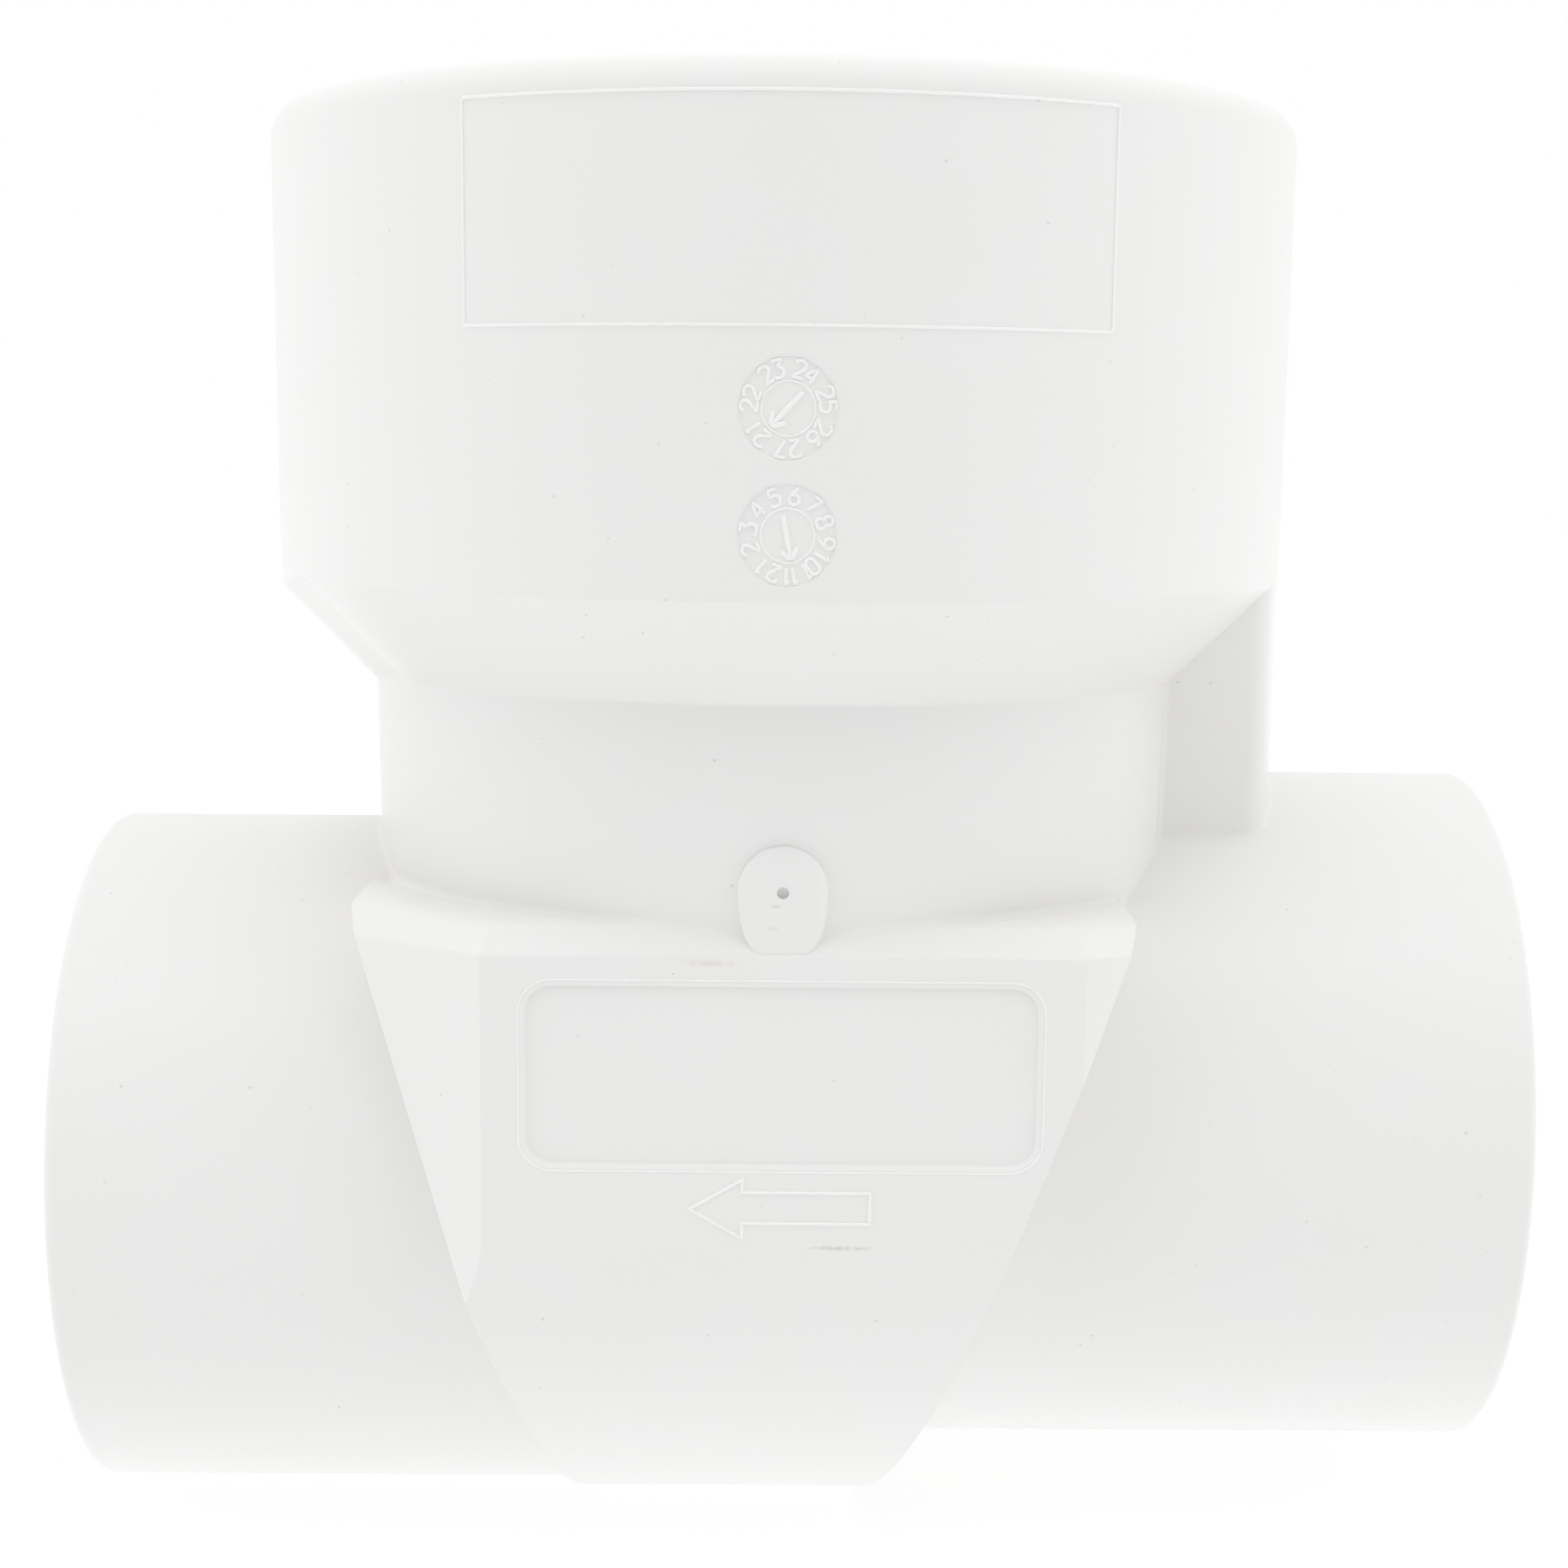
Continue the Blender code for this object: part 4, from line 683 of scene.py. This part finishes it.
def dial_recess(height):
    """The round recess of a date dial, with a drafted rim and a floor that follows the hub's wall."""
    radius = RISER_HUB_OUTSIDE / 2
    place = Matrix.Translation((DIAL_X, -radius - DIAL_MARGIN, height)) @ ALONG_Y
    grow = DIAL_MARGIN * DIAL_DRAFT / DIAL_DEPTH
    profile = [(DIAL_RADIUS + grow, 0.0), (DIAL_RADIUS - grow, 2 * DIAL_MARGIN)]
    recess = turned("recess", profile, ROUND_STEPS // 2, place)
    floor = radius - DIAL_DEPTH
    reach = [(floor, height - DIAL_CORE_REACH), (floor, height + DIAL_CORE_REACH)]
    return combine(recess, [turned("core", reach, 2 * ROUND_STEPS)], "DIFFERENCE")


def socket_void(name, root, reach, place):
    """The space inside a pipe hub: bore, pipe stop and socket with a lead-in."""
    socket = PIPE_SOCKET_BORE / 2
    stop = reach - PIPE_SOCKET_DEPTH
    profile = [(PIPE_BORE / 2, root), (PIPE_BORE / 2, stop), (socket, stop)]
    profile += [(socket, reach - SOCKET_LEAD), (socket + SOCKET_LEAD, reach)]
    profile += [(socket + SOCKET_LEAD, reach + BEYOND)]
    return turned(name, profile, PIPE_STEPS, place)


def inlet_void(place):
    """The inlet hub's space, stopping short of the chamber by the lip that carries the port."""
    root = inlet_wall(INLET_AXIS - PIPE_BORE / 2, WALL)
    void = socket_void("inlet_space", root - BEYOND, INLET_REACH, place)
    reach = 2 * INLET_REACH
    outline = [(INLET_LIP, -reach), (reach, -reach), (reach, reach), (INLET_LIP, reach)]
    beyond_lip = lofted("beyond_lip", [outline, outline], [-reach, reach], place=SEAT_FRAME)
    return combine(void, [beyond_lip], "INTERSECT")


def riser_void():
    """The space above the chamber: neck, cone, pipe stop and riser socket."""
    neck = NECK_BORE / 2
    stop = RISER_PIPE_BORE / 2
    socket = RISER_SOCKET_BORE / 2
    slope = (RISER_HUB_OUTSIDE - NECK_TOP_OUTSIDE) / 2 / (RISER_HUB_BASE - NECK_TOP)
    cone_foot = NECK_TOP + (WALL * math.hypot(1.0, slope) - (NECK_TOP_OUTSIDE / 2 - neck)) / slope
    cone_top = cone_foot + (stop - neck) / slope
    profile = [(neck, KEYWAY_FLOOR), (neck, cone_foot), (stop, cone_top), (stop, RISER_SHOULDER)]
    profile += [(socket, RISER_SHOULDER), (socket, RISER_TOP - RISER_SOCKET_LEAD)]
    profile += [(socket + RISER_SOCKET_LEAD, RISER_TOP), (socket + RISER_SOCKET_LEAD, RISER_TOP + BEYOND)]
    return turned("riser_space", profile, ROUND_STEPS)


def chamber():
    """The wedge-shaped space that the cartridge drops into."""
    plan = bulb_plan(CHAMBER_SIDE, WALL, CHAMBER_CORNER)
    space = lofted("chamber", [plan, plan], [-BEYOND, CHAMBER_ROOF])
    combine(space, [belly_section("section", CHAMBER_ROUND, CHAMBER_ROOF + BEYOND)], "INTERSECT")
    top = KEYWAY_FLOOR + BEYOND / 2
    radius = NECK_BORE / 2 - WALLS_APART
    neck = turned("neck_foot", [(radius, CHAMBER_ROOF - WALL), (radius, top)], ROUND_STEPS)
    combine(space, [neck], "UNION")
    return combine(space, [wedge("walls", WALL, -BEYOND, top + BEYOND)], "INTERSECT")


def moulded_body():
    """The one-piece moulded body, joined and cut from its forms, then set at the riser's place."""
    to_outlet = Matrix.Translation((0.0, 0.0, OUTLET_AXIS)) @ ALONG_MINUS_X
    to_inlet = Matrix.Translation((0.0, 0.0, INLET_AXIS)) @ ALONG_X
    outlet_root = -outlet_wall(0.0) - WALL
    inlet_root = inlet_wall(INLET_AXIS - HUB_OUTSIDE / 2) - WALL
    web_plans = [web_outline(NECK_FOOT_OUTSIDE / 2), *[web_outline(NECK_TOP_OUTSIDE / 2)] * 2]
    body = combine(riser_outside(), map(dial_recess, DIAL_HEIGHTS), "DIFFERENCE")
    combine(body, [
        pipe_hub("outlet_hub", outlet_root, OUTLET_REACH, to_outlet),
        pipe_hub("inlet_hub", inlet_root, INLET_REACH, to_inlet),
        bulb_outside(),
        lofted("web", web_plans, [CHAMBER_ROOF, NECK_TOP, RISER_HUB_BASE + GUSSET_THICKNESS]),
        *foot_fillets(),
        gate_boss(),
    ], "UNION")
    outlet_end = -outlet_wall(OUTLET_AXIS - PIPE_BORE / 2, WALL) - WALL
    port_end = INLET_LIP + WALL / 2
    keyway_plan = sector_outline(KEYWAY_WIDTH / 2, KEYWAY_RADIUS, KEYWAY_CORNER, WEB_ROOT)
    port = [(INLET_PORT / 2, -BEYOND / 2), (INLET_PORT / 2, port_end)]
    combine(body, [
        riser_void(),
        chamber(),
        socket_void("outlet_space", outlet_end, OUTLET_REACH, to_outlet),
        inlet_void(to_inlet),
        turned("port", port, PIPE_STEPS, SEAT_FRAME @ ALONG_X),
        lofted("keyway", [keyway_plan] * 2, [KEYWAY_FLOOR, RISER_SHOULDER + WEB_STEP]),
        window_cutter(),
    ], "DIFFERENCE")
    body.data.transform(Matrix.Translation((RISER_X * MM, 0.0, 0.0)))
    shape = bmesh.new()
    shape.from_mesh(body.data)
    bmesh.ops.remove_doubles(shape, verts=shape.verts, dist=WELD * MM)
    bmesh.ops.dissolve_degenerate(shape, dist=WELD * MM, edges=shape.edges)
    shape.to_mesh(body.data)
    shape.free()
    return body


def on_hub(points, floor):
    """Lay (across, up, height) on the hub's wall: the way across becomes an arc about the riser axis."""
    across, up, height = points[..., 0], points[..., 1], points[..., 2]
    turn = across / (RISER_HUB_OUTSIDE / 2) - math.pi / 2
    radius = floor + height
    return np.stack([radius * np.cos(turn) + RISER_X, radius * np.sin(turn), up], -1)


def on_pad(points, floor):
    """Lay (across, up, height) on the front pad."""
    return np.stack([points[..., 0] + RISER_X, -floor - points[..., 2], points[..., 1]], -1)


def raised_line(route, half_width, height, closed):
    """A low round ridge along a route: at each route point the section (w cos a, h sin a) stands square
    to the mean of the two neighbouring runs, widened at corners so that the runs keep their width. Near
    an open end, at a distance e within the half width w, it shrinks by the root of 1 - (1 - e / w)
    squared."""
    route = np.asarray(route, float)
    if closed:
        run = np.roll(route, -1, 0) - route
    else:
        run = np.diff(route, axis=0)
        run = np.concatenate([run, run[-1:]])
    length = np.linalg.norm(run, axis=1)
    run /= length[:, None]
    before = np.roll(run, 1, 0)
    if not closed:
        before[0] = run[0]
    side = np.stack([-(run + before)[:, 1], (run + before)[:, 0]], 1)
    side /= np.linalg.norm(side, axis=1)[:, None]
    across = np.stack([-run[:, 1], run[:, 0]], 1)
    stretch = 1.0 / np.clip((side * across).sum(1), LINE_MITRE, 1.0)
    way = np.concatenate([[0.0], np.cumsum(length[:-1])])
    ends = 1.0 if closed else np.minimum(way, way[-1] - way) / half_width
    shrink = np.sqrt(1.0 - (1.0 - np.clip(ends, LINE_END_SHARE, 1.0)) ** 2) * np.ones(len(route))
    turn = np.linspace(0.0, math.tau, 2 * LINE_STEPS, endpoint=False)
    reach = half_width * np.cos(turn)
    flat = route[:, None] + side[:, None] * (reach[None, :, None] * (stretch * shrink)[:, None, None])
    lift = height * np.sin(turn) * shrink[:, None]
    return np.concatenate([flat, lift[..., None]], -1)


def spaced(route, step, closed):
    """Points along the straight runs of a route, no further apart than a step."""
    route = np.asarray(route, float)
    ends = np.concatenate([route, route[:1]]) if closed else route
    parts = []
    for first, last in zip(ends, ends[1:]):
        count = max(1, math.ceil(np.linalg.norm(last - first) / step))
        parts.append(first + (last - first) * np.arange(count)[:, None] / count)
    return np.concatenate(parts + ([] if closed else [ends[-1:]]))


def digit_lines(word, angle):
    """The strokes of a dial's number about the dial's centre: each digit is drawn in its field, brought
    to size and turned to its place on the circle, its head outwards."""
    middle = np.array(DIGIT_FIELD) / 2
    lines = []
    for number, digit in enumerate(word):
        corners, radii, closed = DIGIT_STROKES[digit]
        radii = np.array(radii) * DIGIT_ROUND_SHARE
        stroke = softened(np.array(corners) - middle, radii, closed) * DIGIT_TALL / DIGIT_FIELD[1]
        shift = ((len(word) - 1) / 2 - number) * DIGIT_STEP / DIGIT_RADIUS
        turn = math.radians(angle) + shift
        up = np.array([math.cos(turn), math.sin(turn)])
        right = np.array([up[1], -up[0]])
        lines.append((stroke[:, :1] * right + (stroke[:, 1:] + DIGIT_RADIUS) * up, closed))
    return lines


def dial(name, height, marks, pointer):
    """One date dial: digits round a ring line, and a pointer of three strokes, laid in its recess."""
    floor = RISER_HUB_OUTSIDE / 2 - DIAL_DEPTH
    centre = np.array([DIAL_X, height])
    lines = [(arc((0.0, 0.0), DIAL_RING, 0.0, math.tau, CIRCLE_STEPS)[:-1], True, DIAL_RING_LINE)]
    lines += [(stroke, False, POINTER_LINE) for stroke in pointer]
    for word, angle in marks:
        lines += [(route, closed, DIGIT_LINE) for route, closed in digit_lines(word, angle)]
    shape = bmesh.new()
    for route, closed, line in lines:
        ridge = raised_line(spaced(route, line[0] / 2, closed) + centre, *line, closed)
        piece = skin("line", on_hub(ridge, floor), ring=closed)
        shape.from_mesh(piece.data)
        bpy.data.objects.remove(piece, do_unlink=True)
    mesh = bpy.data.meshes.new(name)
    shape.to_mesh(mesh)
    shape.free()
    return linked(name, mesh)


def closed_line(name, outline, line, lay, floor):
    """A raised line round an outline, laid on the hub or on the pad."""
    ridge = raised_line(spaced(outline, LINE_RUN, True), *line, True)
    return skin(name, lay(ridge, floor), ring=True)


def label_border():
    """The raised border of the label field on the hub's wall."""
    corners = [(LABEL_LEFT, LABEL_LOW), (LABEL_RIGHT, LABEL_LOW)]
    corners += [(LABEL_RIGHT, LABEL_HIGH), (LABEL_LEFT, LABEL_HIGH)]
    outline = softened(corners, [LABEL_CORNER] * 4, closed=True)
    return closed_line("label_border", outline, LABEL_LINE, on_hub, RISER_HUB_OUTSIDE / 2)


def flow_arrow():
    """The raised outline of the flow arrow on the pad."""
    return closed_line("flow_arrow", ARROW_OUTLINE, ARROW_LINE, on_pad, BULB_SIDE)


def window_lip():
    """The fine raised lip round the window's mouth."""
    grow = 4 * WINDOW_LIP[0]
    centre = (WINDOW_CENTRE_X, WINDOW_CENTRE_Z)
    size = (WINDOW_LENGTH + grow, WINDOW_HEIGHT + grow)
    outline = rounded_rectangle(*size, WINDOW_CORNER + grow / 2, centre)
    return closed_line("window_lip", outline, WINDOW_LIP, on_pad, BULB_SIDE)


class Wire:
    """A socket in a node tree that stands in expressions; each operator adds its Math node."""

    def __init__(self, tree, socket):
        self.tree = tree
        self.socket = socket

    def maths(self, operation, *values):
        """The result of a Math node on the values."""
        return self.tree.add("ShaderNodeMath", {"operation": operation}, dict(enumerate(values)))["Value"]

    def __add__(self, other):
        return self.maths("ADD", self, other)

    def __radd__(self, other):
        return self.maths("ADD", other, self)

    def __sub__(self, other):
        return self.maths("SUBTRACT", self, other)

    def __rsub__(self, other):
        return self.maths("SUBTRACT", other, self)

    def __mul__(self, other):
        return self.maths("MULTIPLY", self, other)

    def __rmul__(self, other):
        return self.maths("MULTIPLY", other, self)

    def raised(self):
        """e to the power of the value."""
        return self.maths("EXPONENT", self)

    def clipped(self):
        """The value held between 0 and 1."""
        return self.maths("MINIMUM", self.maths("MAXIMUM", self, 0.0), 1.0)


class Outputs:
    """The outputs of one node, read by name."""

    def __init__(self, tree, node):
        self.tree = tree
        self.node = node

    def __getitem__(self, name):
        found = [item for item in self.node.outputs if item.enabled and item.name == name]
        return Wire(self.tree, found[0])


class Tree:
    """A material's or the world's node tree."""

    def __init__(self, owner):
        owner.use_nodes = True
        self.tree = owner.node_tree
        self.tree.nodes.clear()

    def add(self, kind, settings=None, sockets=None):
        """A node of a type, with its settings set first and then the values or links of its sockets."""
        node = self.tree.nodes.new(kind)
        for key, value in (settings or {}).items():
            if key == "stops":
                self.set_stops(node.color_ramp, value)
            else:
                setattr(node, key, value)
        for key, value in (sockets or {}).items():
            if isinstance(key, int):
                socket = node.inputs[key]
            else:
                socket = [item for item in node.inputs if item.enabled and item.name == key][0]
            if isinstance(value, Wire):
                self.tree.links.new(value.socket, socket)
            else:
                socket.default_value = value
        return Outputs(self, node)

    @staticmethod
    def set_stops(ramp, stops):
        """Set a ramp's stops as (place, grey level)."""
        while len(ramp.elements) < len(stops):
            ramp.elements.new(1.0)
        for element, (place, level) in zip(ramp.elements, stops):
            element.position = place
            element.color = (level, level, level, 1.0)

    def noise(self, vector, scale, detail=2.0, roughness=0.5):
        """Cloudy values from 0 to 1 at a scale per metre."""
        sockets = {"Vector": vector, "Scale": scale, "Detail": detail, "Roughness": roughness}
        return self.add("ShaderNodeTexNoise", {"noise_dimensions": "3D"}, sockets)["Fac"]

    def ramp(self, value, stops):
        """A value led through grey stops."""
        return self.add("ShaderNodeValToRGB", {"stops": stops}, {"Fac": value})["Color"]

    def mix(self, share, first, second):
        """A colour between two by a share from 0 to 1."""
        sockets = {"Factor": share, "A": first, "B": second}
        return self.add("ShaderNodeMix", {"data_type": "RGBA"}, sockets)["Result"]

    def place(self):
        """The point on the object in metres."""
        return self.add("ShaderNodeTexCoord")["Object"]

    def far(self, place, middle, reach):
        """The distance from a middle, in units of a reach along each axis, both in millimetres."""
        away = self.vector_maths("SUBTRACT", place, Vector(middle) * MM)["Vector"]
        scaled = self.vector_maths("MULTIPLY", away, tuple(1.0 / (size * MM) for size in reach))["Vector"]
        return self.vector_maths("LENGTH", scaled)["Value"]

    def vector_maths(self, operation, *values):
        """A Vector Math node on the values."""
        return self.add("ShaderNodeVectorMath", {"operation": operation}, dict(enumerate(values)))

    def bump(self, height, sizes, normal=None):
        """The normal of a bumpy surface, on top of another normal if there is one."""
        sockets = {**sizes, "Height": height}
        if normal is not None:
            sockets["Normal"] = normal
        return self.add("ShaderNodeBump", {}, sockets)["Normal"]

    def seen(self):
        """1 for what the camera sees, straight, in metal or through glass, 0 for light on its way."""
        path = self.add("ShaderNodeLightPath")
        return (path["Is Camera Ray"] + path["Is Glossy Ray"] + path["Is Transmission Ray"]).clipped()

    def surface(self, **sockets):
        """The material's shader with its output."""
        names = {key.replace("_", " "): value for key, value in sockets.items()}
        shader = self.add("ShaderNodeBsdfPrincipled", {}, names)["BSDF"]
        self.add("ShaderNodeOutputMaterial", {}, {"Surface": shader})


def finish(name):
    """A new material and its tree."""
    made = bpy.data.materials.new(name)
    return made, Tree(made)


def moulded_white(name, colour, tint, roughness, soft_edge, marks=()):
    """Injection-moulded plastic with a satin face: faint clouding between two tones, warm blotches, a
    fine skin, stray specks, and stains at the places given in millimetres."""
    made, tree = finish(name)
    place = tree.place()
    cloud = tree.noise(place, *CLOUD_NOISE)
    blotch = tree.ramp(tree.noise(place, *BLOTCH_NOISE), BLOTCH_STOPS)
    speck = tree.ramp(tree.noise(place, *SPECK_NOISE), SPECK_STOPS)
    warm = tuple(level * share for level, share in zip(colour, BLOTCH_WARMTH))
    shade = tree.mix(cloud, (*colour, 1.0), (*tint, 1.0))
    shade = tree.mix(blotch, shade, (*warm, 1.0))
    base = tree.mix(speck * SPECK_STRENGTH, shade, SPECK_COLOUR)
    for middle, reach, stain, strength in marks:
        near = (1.0 - tree.far(place, middle, reach)).clipped()
        worn = tree.noise(place, *STAIN_NOISE)
        mask = (near * STAIN_EDGE * (worn * STAIN_BREAKS - 1.0).clipped()).clipped()
        base = tree.mix(mask * strength, base, (*stain, 1.0))
    rough = roughness + (cloud - 0.5) * GLOSS_CHANGE
    edge = tree.add("ShaderNodeBevel", {"samples": EDGE_SAMPLES}, {"Radius": soft_edge})["Normal"]
    wave = tree.bump(tree.noise(place, *SWIRL_NOISE), SWIRL_BUMP, edge)
    fine = tree.bump(tree.noise(place, *GRAIN_NOISE), GRAIN_BUMP, wave)
    tree.surface(Base_Color=base, Roughness=rough, Normal=fine, IOR=PLASTIC_IOR)
    return made


def rubber(name):
    """Black rubber with a dull bloom and a finely pitted skin."""
    made, tree = finish(name)
    place = tree.place()
    bloom = tree.noise(place, *BLOOM_NOISE)
    pits = tree.bump(tree.noise(place, *PIT_NOISE), PIT_BUMP)
    least, change = RUBBER_ROUGHNESS
    base = tree.mix(bloom, *RUBBER_TONES)
    tree.surface(Base_Color=base, Roughness=least + bloom * change, Normal=pits)
    return made


def steel(name):
    """Stainless steel with drawing marks and a soft variation in gloss."""
    made, tree = finish(name)
    place = tree.place()
    stretched = tree.add("ShaderNodeMapping", {}, {"Vector": place, "Scale": DRAWING_STRETCH})["Vector"]
    lines = tree.noise(stretched, *DRAWING_NOISE)
    least, change = STEEL_ROUGHNESS
    base = tree.mix(tree.noise(place, *STEEL_CLOUD_NOISE), *STEEL_TONES)
    bump = tree.bump(lines, DRAWING_BUMP)
    tree.surface(Base_Color=base, Metallic=1.0, Roughness=least + lines * change, Normal=bump)
    return made


def studio():
    """White surroundings, dimmer in front and behind and brighter overhead, two faint soft boxes and a
    pale floor. Each soft patch adds its level times e to the power (cosine to its direction - 1) /
    (1 - cos of its spread). The camera itself sees even white, and a floor that glows but for the share
    of paint that takes the part's shadow."""
    world = bpy.data.worlds.new("studio")
    bpy.context.scene.world = world
    tree = Tree(world)
    direction = tree.add("ShaderNodeTexCoord")["Generated"]
    level = EVEN_LIGHT
    for towards, spread, amount in SOFT_PATCHES:
        facing = tree.vector_maths("DOT_PRODUCT", direction, Vector(towards).normalized())["Value"]
        fall = 1.0 / (1.0 - math.cos(math.radians(spread)))
        level = level + amount * ((facing - 1.0) * fall).raised()
    seen = tree.seen()
    strength = level + seen * (1.0 - level)
    light = tree.add("ShaderNodeBackground", {}, {"Color": WHITE, "Strength": strength})
    tree.add("ShaderNodeOutputWorld", {}, {"Surface": light["Background"]})

    for place in LAMP_PLACES:
        box = bpy.data.lights.new("soft_box", "AREA")
        box.shape = "SQUARE"
        box.size = LAMP_SIZE
        box.energy = LAMP_POWER
        towards = (Vector(LAMP_AIM) - Vector(place)).to_track_quat("-Z", "Y").to_matrix().to_4x4()
        lamp = linked("soft_box", box)
        lamp.matrix_world = Matrix.Translation(place) @ towards

    outline = arc((0.0, 0.0), FLOOR_RADIUS, 0.0, math.tau, CIRCLE_STEPS)[:-1]
    floor = lofted("floor", [outline, outline], [-FLOOR_THICKNESS, 0.0])
    made, tree = finish("pale_floor")
    paint = tree.add("ShaderNodeBsdfDiffuse", {}, {"Color": WHITE})["BSDF"]
    glow = tree.add("ShaderNodeEmission", {}, {"Color": WHITE, "Strength": FLOOR_LIGHT})["Emission"]
    share = 1.0 - tree.seen() * FLOOR_SHADOW
    mixed = tree.add("ShaderNodeMixShader", {}, {0: share, 1: paint, 2: glow})["Shader"]
    tree.add("ShaderNodeOutputMaterial", {}, {"Surface": mixed})
    floor.data.materials.append(made)


def camera():
    """The photograph's view: place, tilt, pan and roll solved from its outlines."""
    ahead = Vector((
        math.sin(CAMERA_PAN) * math.cos(CAMERA_TILT),
        math.cos(CAMERA_PAN) * math.cos(CAMERA_TILT),
        -math.sin(CAMERA_TILT),
    ))
    level = Vector((math.cos(CAMERA_PAN), -math.sin(CAMERA_PAN), 0.0))
    upright = level.cross(ahead)
    across = math.cos(CAMERA_ROLL) * level + math.sin(CAMERA_ROLL) * upright
    above = -math.sin(CAMERA_ROLL) * level + math.cos(CAMERA_ROLL) * upright
    lens = bpy.data.cameras.new("camera")
    made = linked("camera", lens)
    turn = Matrix((across, above, -ahead)).transposed().to_4x4()
    made.matrix_world = Matrix.Translation(CAMERA_PLACE) @ turn
    lens.sensor_width = SENSOR
    lens.lens = FOCAL_PIXELS / PICTURE * SENSOR
    lens.shift_y = (MIDDLE_ROW - PICTURE / 2) / PICTURE
    lens.dof.use_dof = False
    bpy.context.scene.camera = made


def dress(item, surface):
    """Give an object its finish."""
    item.data.materials.clear()
    item.data.materials.append(surface)


def smooth(item, sharp):
    """Shade an object smooth, with its edges kept sharp from an angle on."""
    item.data.shade_smooth()
    item.data.set_sharp_from_angle(angle=sharp)


def main():
    """Light and frame the part, make its moulding with all its detail, and give every piece its finish."""
    bpy.context.scene.view_settings.view_transform = "Standard"
    camera()
    studio()
    body_white = moulded_white("body_white", *BODY_WHITE, STAINS)
    # The raised lines get the lighter white, a painted highlight.
    line_white = moulded_white("line_white", *LINE_PAINTED_HIGHLIGHT_WHITE)
    finishes = {
        "white_pvc": body_white,
        "cage_pvc": moulded_white("cage_white", *CAGE_WHITE),
        "flapper_pvc": moulded_white("flapper_grey", *FLAPPER_GREY),
        "white_acetal": moulded_white("natural_acetal", *ACETAL),
        "black_rubber": rubber("seal_rubber"),
        "stainless_steel": steel("stainless"),
    }

    body = moulded_body()
    body.name = "valve_shell"
    body.data.name = "valve_shell"
    dress(body, body_white)
    smooth(body, BODY_SHARP)
    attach(body, "base")
    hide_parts("valve_body")
    details = [
        label_border(),
        flow_arrow(),
        window_lip(),
        dial("year_dial", DIAL_HEIGHTS[0], YEARS, YEAR_POINTER),
        dial("month_dial", DIAL_HEIGHTS[1], MONTHS, MONTH_POINTER),
    ]
    for piece in details:
        # Painted highlight: the raised lines are dressed in a lighter white than the body.
        dress(piece, line_white)
        smooth(piece, LINE_SHARP)
        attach(piece, "base")

    for row in frame["record"]["subparts"]:
        dress(frame["nodes"][row["node"]], finishes[row["material_slot"]])


main()
